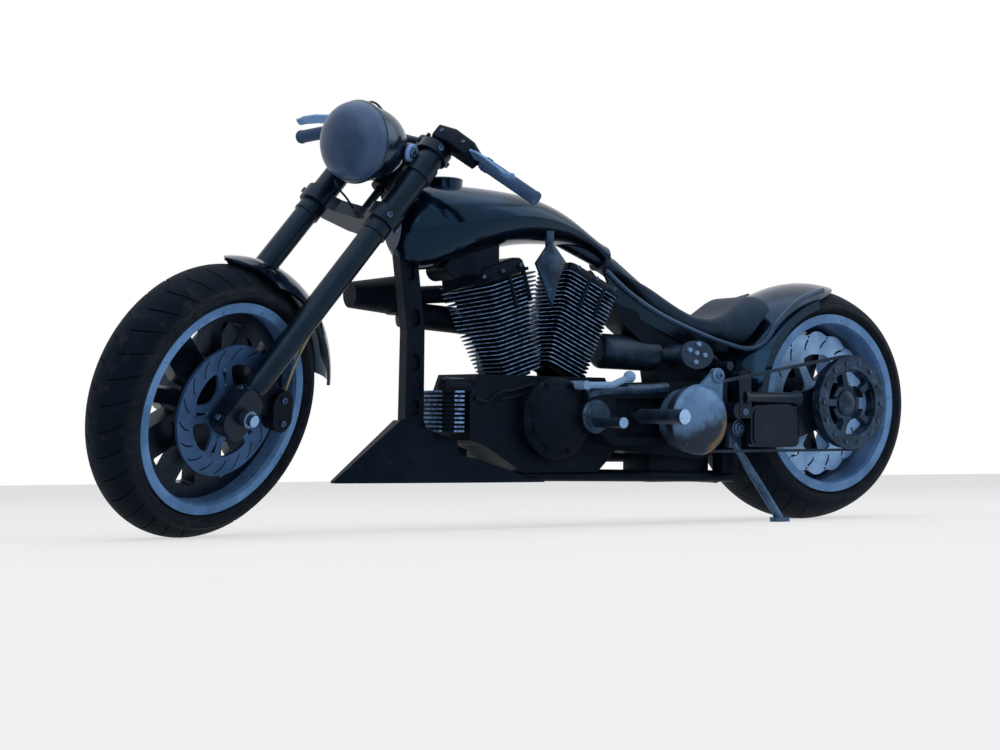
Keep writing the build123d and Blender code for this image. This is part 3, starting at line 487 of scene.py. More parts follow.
@dataclass(frozen=True)
class Dome(Finish):
    """Worn silver cover: mottled, with a painted dark reflection over its lower part, and rusty at
    its lower back edge.
    """

    centre: Optional[Matrix] = None
    # Black of the mottle, and of the painted dark reflection low down.
    black: Colour = (0.02, 0.026, 0.036)
    rust: Colour = (0.2, 0.12, 0.045)

    def tint(self, shader: Shader, base: Value) -> Value:
        """Lay the painted dark reflection, the black mottle and the rust over the silver.

        Args:
            shader: the material's nodes.
            base: the silver.

        Returns:
            The worked colour.
        """
        x, _, z = shader.local(self.centre)
        ragged = shader.noise(260.0, 6.0)
        # Painted dark reflection: the cover turns black towards the bottom, where it reflects the
        # dark below.
        low = (z * 0.9 + x * 0.35 + (ragged - 0.5) * 7.0).between(1.5, -4.5)
        mottle = shader.noise(620.0, 9.0).between(0.56, 0.7) * 0.35
        colour = shader.mix(low * 0.97, shader.mix(mottle, base, self.black), self.black)
        reach = (x * x + z * z).power(0.5)
        corner = (x * -1.0 + z * -0.35).between(4.0, 9.0) * reach.between(8.5, 11.0)
        rusty = corner * shader.noise(330.0, 9.0).between(0.34, 0.5) * z.between(4.0, 0.0)
        return shader.mix(rusty, colour, self.rust)


@dataclass(frozen=True)
class Frosted(Finish):
    """Hazy lamp glass over a grey reflector."""

    centre: Optional[Matrix] = None
    haze_tone: Colour = (0.075, 0.13, 0.25)

    def tint(self, shader: Shader, base: Value) -> Value:
        """Pale haze near the rim, paler towards the top, and thin flutes across the glass.

        Args:
            shader: the material's nodes.
            base: the glass.

        Returns:
            The worked colour.
        """
        _, left, along = shader.local(self.centre)
        reach = (left * left + along * along).power(0.5)
        flutes = (left * 4.2).wave() * 0.5 + 0.5
        base = shader.mix(flutes * 0.18, base, self.second)
        # Paler near the rim and towards the top of the glass.
        haze = reach.between(8.0, 12.6) * 0.6 + along.between(2.0, 11.0) * 0.35
        return shader.mix(haze * (0.6 + 0.4 * shader.noise(240.0, 6.0)), base, self.haze_tone)


@dataclass(frozen=True)
class Leather(Finish):
    """Seat cover with a pebbled grain."""

    def height(self, shader: Shader) -> Value:
        """Pebbles with creases between them."""
        return shader.cells(1300.0).between(0.0, 0.35) * 0.8 + shader.noise(260.0, 4.0) * 0.4


@dataclass(frozen=True)
class Toothed(Finish):
    """Belt with ribs across it."""

    centre: Optional[Matrix] = None

    def height(self, shader: Shader) -> Value:
        """Ribs across the belt."""
        x, _y, z = shader.local(self.centre)
        return (x * 3.4 + z * 0.4).wave() * 0.5 + 0.5


def turned_ends(matrix: Matrix, low: float, high: float,
                facing: bool = True) -> Callable[[Shader], Value]:
    """Rule that picks out the bare ends of pins that run across the machine.

    Args:
        matrix: the frame that the pins lie in.
        low: distance from the middle at which the bare part starts.
        high: distance from which all of it is bare.
        facing: whether only the faces that look out are bare.

    Returns:
        The rule.
    """
    def rule(shader: Shader) -> Value:
        """Mask that is 1 on a bare end and 0 elsewhere."""
        ends = abs(shader.local(matrix)[1]).between(low, high)
        return ends * abs(shader.local(matrix, True)[1]).between(0.8, 0.9) if facing else ends

    return rule


class Paints:
    """The finishes of the model, each made once; most tones carry a painted blue cast of the sky
    light.
    """

    def __init__(self, places: "Places") -> None:
        """Make every material.

        Args:
            places: the frames that the round finishes turn about.
        """
        front, machine = places.front_wheel, places.machine
        self.front_rubber = Rubber("front_tyre_rubber", (0.0022, 0.0038, 0.0072),
                                   (0.0044, 0.0077, 0.0144), 45.0, (0.62, 0.8), grain=2400.0,
                                   relief=0.35, dust_and_painted_sheen=0.07, shine=0.1, centre=front,
                                   tread_from=42.5).make()
        self.rear_rubber = Rubber("rear_tyre_rubber", (0.0022, 0.0038, 0.0072),
                                  (0.0044, 0.0077, 0.0144), 45.0, (0.62, 0.8), grain=2400.0,
                                  relief=0.35, dust_and_painted_sheen=0.1, shine=0.12, centre=machine,
                                  tread_from=43.0).make()
        silver = dict(blotches=60.0, rough=(0.3, 0.55), metal=0.25, relief=0.45, depth=0.12)
        self.front_silver = Painted("front_rim_silver", (0.1584, 0.3301, 0.65),
                                    (0.0792, 0.1767, 0.375), centre=front, **silver).make()
        self.rear_silver = Painted("rear_rim_silver", (0.1452, 0.2976, 0.5625),
                                   (0.0792, 0.1674, 0.35), centre=machine, **silver).make()
        self.front_disc = Turned("front_disc_grey", (0.0462, 0.107, 0.2375),
                                 (0.0264, 0.0632, 0.15), 90.0, (0.36, 0.52), metal=0.45,
                                 relief=0.3, centre=front).make()
        self.rear_disc = Turned("rear_disc_steel", (0.2772, 0.465, 0.75),
                                (0.1716, 0.3069, 0.525), 90.0, (0.25, 0.42), metal=0.6,
                                relief=0.3, centre=machine).make()
        self.satin = Finish("satin_black", (0.0015, 0.0032, 0.0069), (0.0033, 0.0066, 0.0138),
                            80.0, (0.32, 0.5), relief=0.22, dust_and_painted_sheen=0.07, rubs=0.12,
                            rub_tone=(0.033, 0.0632, 0.1187), shine=0.1).make()
        self.rails = Finish("rail_gloss", (0.0132, 0.0279, 0.06), (0.0264, 0.0539, 0.11), 60.0,
                            (0.16, 0.3), grain=500.0, relief=0.12, dust_and_painted_sheen=0.1, shine=0.6,
                            sheen_tone=(0.3, 0.6, 1.0)).make()
        self.fin_black = Finish("fin_black", (0.0009, 0.002, 0.0045), (0.0025, 0.0049, 0.01),
                                120.0, (0.4, 0.6), relief=0.3, shine=0.12).make()
        self.fin_edge = Finish("fin_edge", (0.198, 0.3534, 0.65), (0.033, 0.0651, 0.1313), 420.0,
                               (0.3, 0.5), metal=0.4, relief=0.3, rubs=0.6,
                               rub_tone=(0.0036, 0.0072, 0.0138)).make()
        self.engine = Finish("engine_black", (0.0008, 0.0017, 0.0038),
                             (0.0022, 0.0043, 0.0089), 90.0, (0.46, 0.66), grain=1900.0,
                             relief=0.5, depth=0.08, dust_and_painted_sheen=0.06, rubs=0.16,
                             rub_tone=(0.0264, 0.0502, 0.0938), shine=0.12).make()
        # Its up-facing tone is a painted blue sky reflection on its upper faces, not dust.
        self.gloss = Finish("gloss_black", (0.0009, 0.002, 0.0055), (0.0016, 0.0038, 0.0093),
                            40.0, (0.09, 0.17), grain=300.0, relief=0.05, dust_and_painted_sheen=0.4,
                            dust_and_painted_sheen_tone=(0.03, 0.085, 0.22), shine=0.5,
                            sheen_tone=(0.2, 0.52, 1.0)).make()
        self.spine = Finish("spine_gloss", (0.0018, 0.004, 0.0089), (0.004, 0.0082, 0.0179), 60.0,
                            (0.2, 0.34), grain=500.0, relief=0.12, dust_and_painted_sheen=0.1, rubs=0.06,
                            shine=0.45, sheen_tone=(0.3, 0.6, 1.0)).make()
        self.centres = Finish("wheel_centre_black", (0.0015, 0.0031, 0.0069),
                              (0.0033, 0.0069, 0.0144), 100.0, (0.25, 0.42), relief=0.15,
                              dust_and_painted_sheen=0.08, shine=0.25).make()
        self.fork = Finish("fork_black", (0.0018, 0.0041, 0.0089), (0.004, 0.0084, 0.0179), 55.0,
                           (0.24, 0.38), grain=700.0, relief=0.12, dust_and_painted_sheen=0.05, rubs=0.08,
                           rub_tone=(0.033, 0.0632, 0.1187), shine=0.3).make()
        self.shell = Finish("lamp_shell", (0.0033, 0.0066, 0.0144), (0.0119, 0.0242, 0.05), 60.0,
                            (0.12, 0.22), shine=0.7, grain=500.0, relief=0.06, dust_and_painted_sheen=0.06).make()
        self.lens = Frosted("lamp_lens", (0.0175, 0.037, 0.085), (0.028, 0.054, 0.115), 120.0,
                            (0.3, 0.45), coat=0.12, grain=900.0, relief=0.1, dust_and_painted_sheen=0.1,
                            centre=places.lamp).make()
        self.pale = Finish("pale_alloy", (0.1716, 0.3162, 0.575), (0.1122, 0.2185, 0.425), 120.0,
                           (0.32, 0.5), metal=0.45, relief=0.25, rubs=0.3,
                           rub_tone=(0.0396, 0.0698, 0.125)).make()
        self.screws = Finish("screw_steel", (0.0726, 0.1302, 0.2375), (0.033, 0.0614, 0.115),
                             400.0, (0.25, 0.42), metal=0.75, relief=0.2).make()
        self.grips = Finish("grip_grey", (0.042, 0.085, 0.18), (0.026, 0.056, 0.125), 90.0,
                            (0.5, 0.66), grain=1700.0, relief=0.4, dust_and_painted_sheen=0.1).make()
        self.stand = Finish("stand_steel", (0.06, 0.105, 0.185), (0.025, 0.05, 0.095), 140.0,
                            (0.26, 0.46), metal=0.6, relief=0.3, rubs=0.5,
                            rub_tone=(0.0198, 0.0372, 0.0688)).make()
        self.hose = Finish("hose_ochre", (0.36, 0.33, 0.16), (0.24, 0.23, 0.13), 300.0,
                           (0.4, 0.55), relief=0.3).make()
        self.shield = Finish("horn_shield", (0.0047, 0.0102, 0.022), (0.0231, 0.0465, 0.095),
                             130.0, (0.26, 0.42), metal=0.2, relief=0.25, dust_and_painted_sheen=0.1, rubs=0.2,
                             shine=0.45).make()
        self.seat = Leather("seat_leather", (0.0044, 0.0087, 0.0179), (0.0145, 0.0279, 0.055),
                            60.0, (0.48, 0.62), relief=0.35, depth=0.09, dust_and_painted_sheen=0.12).make()
        self.belt = Toothed("belt_rubber", (0.0058, 0.0107, 0.0206), (0.0198, 0.0353, 0.0625),
                            90.0, (0.55, 0.7), relief=0.5, depth=0.2, dust_and_painted_sheen=0.15,
                            centre=machine).make()
        self.dome = Dome("clutch_silver", (0.1, 0.19, 0.35), (0.065, 0.13, 0.25), 110.0,
                         (0.3, 0.5), metal=0.5, relief=0.35, depth=0.08,
                         centre=places.clutch).make()
        self.ledge = Finish("ledge_silver", (0.03, 0.055, 0.105), (0.011, 0.021, 0.042), 200.0,
                            (0.25, 0.42), metal=0.35, relief=0.25, rubs=0.8,
                            rub_tone=(0.0044, 0.0082, 0.0165), shine=0.5).make()

        def lever_parts(shader: Shader) -> Value:
            """Pick out the shift lever and the ends of the short pegs."""
            ends = turned_ends(machine, 38.0, 38.4, False)(shader)
            return ends.highest(shader.local(machine)[2].between(-1.0, 0.5) * 0.8)

        def studs(shader: Shader) -> Value:
            """Pick out the studs and the pale flange under them."""
            y = shader.local(machine)[1]
            return y.between(13.6, 14.0) * (0.06 + 0.94 * y.between(16.0, 16.2))

        dark = dict(tone=(0.0051, 0.0102, 0.0213), second=(0.0172, 0.0335, 0.065),
                    blotches=150.0, rough=(0.3, 0.45), relief=0.25, dust_and_painted_sheen=0.1)
        self.pegs = Regions("peg_black", rule=turned_ends(machine, 46.0, 46.4),
                            other=(0.396, 0.651, 1.025), **dark).make()
        self.controls = Regions("control_black", rule=lever_parts,
                                other=(0.2376, 0.4185, 0.7125), **dark).make()
        self.axle = Regions("axle_black", rule=turned_ends(front, 21.3, 21.7),
                            other=(0.297, 0.5301, 0.9), **dark).make()
        self.studs = Regions("oil_tank_black", rule=studs, other=(0.198, 0.3534, 0.6125),
                             **dark).make()


# Places and forms

def matrix_of(x: Vector, y: Vector, z: Vector, origin: Vector) -> Matrix:
    """Matrix to metres of a frame in millimetres, from its directions and its origin in metres."""
    rows = [(x[k] * MILLIMETRE, y[k] * MILLIMETRE, z[k] * MILLIMETRE, origin[k]) for k in range(3)]
    return Matrix((*rows, (0.0, 0.0, 0.0, 1.0)))


def shifted(x: float, y: float, z: float, turn: float = 0.0) -> Matrix:
    """Frame moved by some millimetres and turned about its second axis, in degrees."""
    return Matrix.Translation((x, y, z)) @ Matrix.Rotation(math.radians(turn), 4, "Y")


@dataclass(frozen=True)
class Places:
    """Frames that the sub-assemblies are drawn in."""

    machine: Matrix
    fork: Matrix

    @classmethod
    def read(cls, joints: Iterable[dict]) -> "Places":
        """Work the frames out from the model's joints.

        Args:
            joints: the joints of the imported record.

        Returns:
            The frames of the machine and of its fork.
        """
        named = {joint["name"]: joint for joint in joints}
        left = Vector(named["rear_wheel_spin"]["axis"]).normalized()
        ahead = Vector((1.0, 0.0, -0.001265))
        ahead = (ahead - left * ahead.dot(left)).normalized()
        machine = matrix_of(ahead, left, ahead.cross(left),
                            Vector(named["rear_wheel_spin"]["pos_m"]))
        along = Vector(named["steering"]["axis"]).normalized()
        across = Vector(named["front_wheel_spin"]["axis"]).normalized()
        fork = matrix_of(across.cross(along), across, along, Vector(named["steering"]["pos_m"]))
        return cls(machine, fork)

    @property
    def front_wheel(self) -> Matrix:
        """Frame at the front axle, turned by the rake as the wheel was drawn."""
        return self.fork @ shifted(AXLE_AHEAD, 0, 0, RAKE)

    @property
    def lamp(self) -> Matrix:
        """Frame at the middle of the lamp's rim, its first axis straight ahead."""
        return self.fork @ shifted(LAMP_AHEAD, 0, LAMP_UP, RAKE)

    @property
    def clutch(self) -> Matrix:
        """Frame at the clutch cover's centre."""
        return self.machine @ shifted(CLUTCH_X, 0, CLUTCH_Z)


class Form:
    """A mesh that is built up from turned, swept and boxed parts."""

    def __init__(self, name: str) -> None:
        """Start an empty form."""
        self.name = name
        self.mesh = bmesh.new()

    def skin(self, rings: Sequence[Sequence[Point]], closed: bool = True,
             caps: bool = True) -> "Form":
        """Join rings of points with faces.

        Args:
            rings: the rings, each with the same number of points.
            closed: whether each ring closes on itself.
            caps: whether the first and last ring are filled.

        Returns:
            The form.
        """
        rows = [[self.mesh.verts.new(point) for point in ring] for ring in rings]
        count = len(rows[0])
        for low, high in zip(rows, rows[1:]):
            for k in range(count if closed else count - 1):
                self.mesh.faces.new((low[k], low[(k + 1) % count], high[(k + 1) % count], high[k]))
        if caps:
            self.mesh.faces.new(list(reversed(rows[0])))
            self.mesh.faces.new(rows[-1])
        return self

    def lathe(self, outline: Sequence[tuple[float, float]], origin: Point, direction: Point,
              sides: int = 32, shape: Optional[Callable[[int, float], float]] = None) -> "Form":
        """Turn an outline about an axis.

        Args:
            outline: points of (radius, height) from the foot to the top.
            origin: the foot of the axis.
            direction: where the axis points.
            sides: how many sides the form has.
            shape: share of the radius at a row and an angle, for a form that isn't round.

        Returns:
            The form.
        """
        axis = Vector(direction).normalized()
        helper = Vector((0, 0, 1)) if abs(axis.z) < 0.9 else Vector((1, 0, 0))
        first = axis.cross(helper).normalized()
        second = axis.cross(first)
        rings = []
        for index, (radius, height) in enumerate(outline):
            ring = []
            for k in range(sides):
                angle = 2 * math.pi * k / sides
                reach = radius * (shape(index, angle) if shape else 1.0)
                ring.append(Vector(origin) + axis * height
                            + (first * math.cos(angle) + second * math.sin(angle)) * reach)
            rings.append(ring)
        return self.skin(rings)

    def rod(self, start: Point, end: Point, radius: float, sides: int = 24,
            edge: float = 0.15) -> "Form":
        """Round bar with its ends eased.

        Args:
            start: one end.
            end: the other end.
            radius: its radius.
            sides: how many sides it has.
            edge: width of the easing.

        Returns:
            The form.
        """
        span = Vector(end) - Vector(start)
        outline = [(radius - edge, 0), (radius, edge), (radius, span.length - edge),
                   (radius - edge, span.length)]
        return self.lathe(outline, start, span, sides)

    def tube(self, points: Sequence[Point], radius: float, sides: int = 12,
             steps: int = 8) -> "Form":
        """Wire or pipe along a smooth curve through some points.

        Args:
            points: the points that it passes.
            radius: its radius.
            sides: how many sides it has.
            steps: pieces from one point to the next.

        Returns:
            The form.
        """
        path = smooth_path([Vector(point) for point in points], steps)
        turns = [2 * math.pi * k / sides for k in range(sides)]
        rings = []
        normal = None
        for index, point in enumerate(path):
            ahead = path[min(index + 1, len(path) - 1)] - path[max(index - 1, 0)]
            ahead.normalize()
            if normal is None:
                helper = Vector((0, 0, 1)) if abs(ahead.z) < 0.9 else Vector((1, 0, 0))
                normal = ahead.cross(helper)
            normal = (normal - ahead * normal.dot(ahead)).normalized()
            other = ahead.cross(normal)
            rings.append([point + (normal * math.cos(turn) + other * math.sin(turn)) * radius
                          for turn in turns])
        return self.skin(rings)

    def screw(self, base: Point, direction: Point, radius: float, height: float) -> "Form":
        """Socket head screw: a round head with a six-sided hole.

        Args:
            base: the middle of the head's underside.
            direction: where the head points.
            radius: the head's radius.
            height: the head's height.

        Returns:
            The form.
        """
        hole = 0.52 * radius
        outline = [(radius, -0.1), (radius, height - 0.2 * radius), (radius * 0.86, height),
                   (hole * 1.12, height), (hole, height - 0.08), (hole, height * 0.4),
                   (hole * 0.2, height * 0.36)]

        def corner(index: int, angle: float) -> float:
            """Shape of the six-sided hole inside the round head.

            Args:
                index: row of the outline.
                angle: angle about the screw's axis.

            Returns:
                The radius there, as a share of the radius at the hole's corners.
            """
            if index < 3:
                return 1.0
            return math.cos(math.pi / 6) / math.cos((angle % (math.pi / 3)) - math.pi / 6)

        return self.lathe(outline, base, direction, 24, corner)

    def screws(self, count: int, reach: float, left: float, head: tuple[float, float], out: int = 1,
               start: float = 0.0, centre: Point = (0.0, 0.0)) -> "Form":
        """Ring of screws on a face that looks to one side.

        Args:
            count: how many there are.
            reach: their distance from the middle of the ring.
            left: the face's distance to the left.
            head: radius and height of a head.
            out: 1 where the face looks left, -1 where it looks right.
            start: angle of the first, in degrees.
            centre: the middle of the ring, as (ahead, up).

        Returns:
            The form.
        """
        for k in range(count):
            x, z = polar(reach, start + 360 * k / count)
            self.screw((centre[0] + x, left, centre[1] + z), (0, out, 0), *head)
        return self

    def nut(self, base: Point, direction: Point, radius: float, height: float) -> "Form":
        """Six-sided nut with a domed stud in it.

        Args:
            base: the middle of its underside.
            direction: where it points.
            radius: its radius over the corners.
            height: its height.

        Returns:
            The form.
        """
        outline = [(radius, -0.05), (radius, height * 0.82), (radius * 0.88, height)]
        self.lathe(outline, base, direction, 6)
        stud = [(radius * 0.5, height - 0.1), (radius * 0.5, height + 0.25 * radius),
                (radius * 0.3, height + 0.45 * radius)]
        return self.lathe(stud, base, direction, 16)

    def box(self, middle: Point, size: Point, edge: float = 0.2) -> "Form":
        """Box with eased edges.

        Args:
            middle: its middle.
            size: its three sizes.
            edge: width of the easing.

        Returns:
            The form.
        """
        made = bmesh.ops.create_cube(self.mesh, size=1.0)
        for vert in made["verts"]:
            vert.co = Vector([middle[k] + vert.co[k] * size[k] for k in range(3)])
        edges = list({e for v in made["verts"] for e in v.link_edges})
        bmesh.ops.bevel(self.mesh, geom=edges, offset=edge, segments=2, affect="EDGES", profile=0.6)
        return self

    def sheet(self, outline: Sequence[Point], holes: Sequence[Sequence[Point]], low: float,
              high: float) -> "Form":
        """Flat plate in the side view, with holes through it.

        Args:
            outline: its outline as points of (ahead, up).
            holes: the outline of each hole.
            low: distance to the left of one face.
            high: distance to the left of the other face.

        Returns:
            The form.
        """
        curve = bpy.data.curves.new("outline", "CURVE")
        curve.dimensions = "2D"
        curve.fill_mode = "BOTH"
        curve.extrude = (high - low) / 2
        for loop in (outline, *holes):
            spline = curve.splines.new("POLY")
            spline.points.add(len(loop) - 1)
            for point, (x, z) in zip(spline.points, loop):
                point.co = (x, z, 0.0, 1.0)
            spline.use_cyclic_u = True
        holder = bpy.data.objects.new("outline", curve)
        flat = bpy.data.meshes.new_from_object(holder)
        before = len(self.mesh.verts)
        self.mesh.from_mesh(flat)
        self.mesh.verts.ensure_lookup_table()
        for vert in self.mesh.verts[before:]:
            x, z, depth = vert.co
            vert.co = (x, (low + high) / 2 + depth, z)
        bpy.data.objects.remove(holder)
        bpy.data.curves.remove(curve)
        bpy.data.meshes.remove(flat)
        return self

    def place(self, matrix: Matrix, material: bpy.types.Material, body: Body, slot: Slot,
              second: Optional[bpy.types.Material] = None,
              rule: Optional[Callable[[bmesh.types.BMFace], bool]] = None) -> bpy.types.Object:
        """Finish the form and hang it on its body.

        Args:
            matrix: the frame that it was drawn in.
            material: its finish.
            body: the body that it moves with.
            slot: the record's slot of its finish; not used.
            second: a finish for some of its faces.
            rule: says which faces take that finish.

        Returns:
            The new piece.
        """
        bmesh.ops.recalc_face_normals(self.mesh, faces=self.mesh.faces)
        for face in self.mesh.faces if rule else ():
            face.material_index = 1 if rule(face) else 0
        bmesh.ops.transform(self.mesh, matrix=matrix, verts=self.mesh.verts)
        data = bpy.data.meshes.new(self.name)
        self.mesh.to_mesh(data)
        self.mesh.free()
        piece = bpy.data.objects.new(self.name, data)
        bpy.context.scene.collection.objects.link(piece)
        data.materials.append(material)
        if second:
            data.materials.append(second)
        soften(data)
        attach(piece, body.value)
        LOG.info("%s: %d faces on %s", self.name, len(data.polygons), body.value)
        return piece


def smooth_path(points: Sequence[Vector], steps: int) -> list[Vector]:
    """Points along a smooth curve through some others.

    Args:
        points: the points that it passes.
        steps: pieces from one point to the next.

    Returns:
        The curve's points.
    """
    ends = [points[0] * 2 - points[1], *points, points[-1] * 2 - points[-2]]
    path = []
    for a, b, c, d in zip(ends, ends[1:], ends[2:], ends[3:]):
        for k in range(steps):
            t = k / steps
            path.append(0.5 * (2 * b + (c - a) * t + (2 * a - 5 * b + 4 * c - d) * t ** 2
                               + (3 * b - a - 3 * c + d) * t ** 3))
    return [*path, points[-1]]


def polar(reach: float, angle: float) -> tuple[float, float]:
    """Point of (ahead, up) at a distance from the axle and an angle in degrees."""
    return reach * math.cos(math.radians(angle)), reach * math.sin(math.radians(angle))


def ring_of(radius: float, sides: int, wave: float = 0.0,
            lobes: int = 12) -> list[tuple[float, float]]:
    """Round or lobed outline about the axle.

    Args:
        radius: its greatest radius.
        sides: how many points it has.
        wave: depth of the hollows between its lobes.
        lobes: how many lobes it has.

    Returns:
        Points of (ahead, up).
    """
    points = []
    for k in range(sides):
        hollow = 0.5 - 0.5 * math.cos(2 * math.pi * lobes * k / sides)
        points.append(polar(radius - wave * hollow ** 1.5, 360 * k / sides))
    return points


def rounded(corners: Sequence[Point], radius: float, steps: int = 5) -> list[tuple[float, float]]:
    """Outline with its corners rounded.

    Args:
        corners: the outline's corners.
        radius: how far from a corner the rounding starts.
        steps: pieces in each rounding.

    Returns:
        The rounded outline.
    """
    points = []
    count = len(corners)
    for k, corner in enumerate(corners):
        here = Vector(corner)
        before, after = Vector(corners[k - 1]) - here, Vector(corners[(k + 1) % count]) - here
        start = here + before.normalized() * min(radius, before.length * 0.45)
        end = here + after.normalized() * min(radius, after.length * 0.45)
        for step in range(steps + 1):
            t = step / steps
            point = start * (1 - t) ** 2 + here * 2 * t * (1 - t) + end * t ** 2
            points.append((point.x, point.y))
    return points


def window(inner: float, outer: float, start: float, stop: float,
           radius: float) -> list[tuple[float, float]]:
    """Opening between two spokes, with its outer side round.

    Args:
        inner: distance of its inner corners from the axle.
        outer: distance of its outer corners.
        start: angle of one side, in degrees.
        stop: angle of the other side.
        radius: rounding of its corners.

    Returns:
        The outline.
    """
    middle, half, bulge = (start + stop) / 2, (stop - start) / 2, outer * 1.03
    corners = [(inner, start + half * 0.35), (outer, start), (bulge, middle - half * 0.4),
               (bulge, middle + half * 0.4), (outer, stop), (inner, stop - half * 0.35)]
    return rounded([polar(reach, angle) for reach, angle in corners], radius)


def slit(inner: float, outer: float, angle: float, slant: float,
         width: float) -> list[tuple[float, float]]:
    """Thin slot that leans as it goes out.

    Args:
        inner: distance of its inner end from the axle.
        outer: distance of its outer end.
        angle: angle of its inner end, in degrees.
        slant: how far round its outer end is.
        width: its width.

    Returns:
        The outline.
    """
    line = [Vector(polar(inner + (outer - inner) * k / 4, angle + slant * (k / 4) ** 1.4))
            for k in range(5)]
    side = (line[-1] - line[0]).normalized().orthogonal() * (width / 2)
    ring = [point + side for point in line] + [point - side for point in reversed(line)]
    return [(point.x, point.y) for point in ring]


def soften(data: bpy.types.Mesh) -> None:
    """Shade a mesh smooth and keep its corners sharp."""
    data.polygons.foreach_set("use_smooth", [True] * len(data.polygons))
    data.set_sharp_from_angle(angle=SHARP)


class Model:
    """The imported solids, by name."""

    def __init__(self, nodes: dict) -> None:
        """Keep the solids."""
        self.nodes = nodes
        self.left = set(nodes)

    def paint(self, material: bpy.types.Material, *names: str) -> None:
        """Put a finish on some solids.

        Args:
            material: the finish.
            names: the solids.
        """
        for name in names:
            solid = self.nodes[name]
            soften(solid.data)
            solid.data.materials.clear()
            solid.data.materials.append(material)
            self.left.discard(name)


# Sub-assemblies

@dataclass
class Part:
    """Sub-assembly that is drawn in one frame and moves with one body."""

    matrix: Matrix
    paints: Paints
    body: ClassVar[Body] = Body.FRAME

    def put(self, form: Form, material: bpy.types.Material, slot: Slot) -> bpy.types.Object:
        """Finish a form of this sub-assembly and give the piece back."""
        return form.place(self.matrix, material, self.body, slot)

    def build(self, model: Model) -> None:
        """Draw the sub-assembly's pieces and dress its solids."""
        raise NotImplementedError


@dataclass
class Wheel(Part):
    """Wheel with its treaded tyre."""

    name: str
    radius: float
    half_width: float
    crown: float
    lip: float
    rim_half: float
    pitches: int
    sweep: float
    groove: float = 0.6
    groove_wall: float = 0.16
    groove_depth: float = 0.5

    def outline(self) -> list[tuple[float, float, float]]:
        """Half of the tyre's section, from the middle of the tread to the bead.

        Returns:
            Rows of radius, distance across, and how far along the tread's half the row is.
        """
        shoulder = 0.86 * self.half_width
        centre = self.radius - self.crown
        reach = math.asin(shoulder / self.crown)
        rows = []
        steps = 18
        for k in range(steps + 1):
            angle = reach * k / steps
            rows.append((centre + self.crown * math.cos(angle), self.crown * math.sin(angle),
                         k / steps))
        shoulder_r = rows[-1][0]
        widest_r = self.lip + 0.2 * (self.radius - self.lip)
        bend = ((shoulder_r + widest_r) / 2 + 1.0, (shoulder + self.half_width) / 2 + 0.7)
        for k in range(1, 9):
            t = k / 8
            r = (1 - t) ** 2 * shoulder_r + 2 * t * (1 - t) * bend[0] + t ** 2 * widest_r
            y = (1 - t) ** 2 * shoulder + 2 * t * (1 - t) * bend[1] + t ** 2 * self.half_width
            ridge = 0.22 if k in (4, 7) else 0.0
            rows.append((r, y + ridge, 1 + 0.12 * k))
        bead = self.rim_half - 1.6
        for t in (0.3, 0.34, 0.6, 0.64, 1.0):
            lift = 0.25 if t in (0.34, 0.6) else 0.0
            rows.append((widest_r + t * (self.lip - widest_r),
                         self.half_width + t * (bead - self.half_width) + lift, 2.5))
        return rows

    def cut(self, share: float) -> float:
        """Depth of a groove at a place across the tread.

        Args:
            share: how far along the tread's half the place is.

        Returns:
            The depth as a share of the full depth.
        """
        inner = min(1.0, max(0.0, (share - 0.1) / 0.06))
        outer = min(1.0, max(0.0, (1.1 - share) / 0.12))
        return min(inner, outer)

    def lean(self, share: float) -> float:
        """How far round the tyre a groove has swept at a place across the tread, in radians."""
        fade = 1.0 if share < 1.2 else (1.2 / share) ** 1.6
        return math.radians(self.sweep) * (share ** 1.6) * fade

    def tyre(self, material: bpy.types.Material) -> None:
        """Tyre with swept grooves cut into both halves of its tread, in place of the plain solid.

        Args:
            material: the tyre's finish.
        """
        half = self.outline()
        rows = [(r, -y, s, -1) for r, y, s in reversed(half[1:])]
        rows += [(r, y, s, 1) for r, y, s in half]
        step = 2 * math.pi / self.pitches
        wide, wall = self.groove / self.radius, self.groove_wall / self.radius
        marks = [(0.0, 0), (wall, 1), (wide - wall, 1), (wide, 0), (step * 0.22, 0),
                 (step * 0.36, 0)]
        marks += [(angle + step / 2, -flag) for angle, flag in marks]
        rings = []
        for pitch in range(self.pitches):
            for angle, flag in marks:
                ring = []
                for r, y, share, side in rows:
                    deep = self.cut(share) * self.groove_depth if flag * side > 0 else 0.0
                    turn = pitch * step + angle + self.lean(share)
                    reach = r - deep
                    ring.append((reach * math.cos(turn), y - side * deep * 0.25,
                                 reach * math.sin(turn)))
                rings.append(ring)
        form = Form(self.name + "_tyre_tread")
        form.skin([*rings, rings[0]], closed=False, caps=False)
        bmesh.ops.remove_doubles(form.mesh, verts=form.mesh.verts, dist=0.0005)
        piece = self.put(form, material, Slot.TYRE)
        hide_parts(self.name + "_tyre")

    def valve(self, angle: float) -> None:
        """Valve with its cap on the rim's barrel.

        Args:
            angle: where it stands, in degrees round the wheel.
        """
        x, z = polar(1.0, angle)
        out = Vector((x, 0, z))
        foot = out * (self.lip - 4.4)
        form = Form(self.name + "_valve")
        form.rod(foot, foot - out * 3.2, 0.55, 16).rod(foot - out * 2.6, foot - out * 4.4, 0.8, 12)
        self.put(form, self.paints.screws, Slot.STEEL)


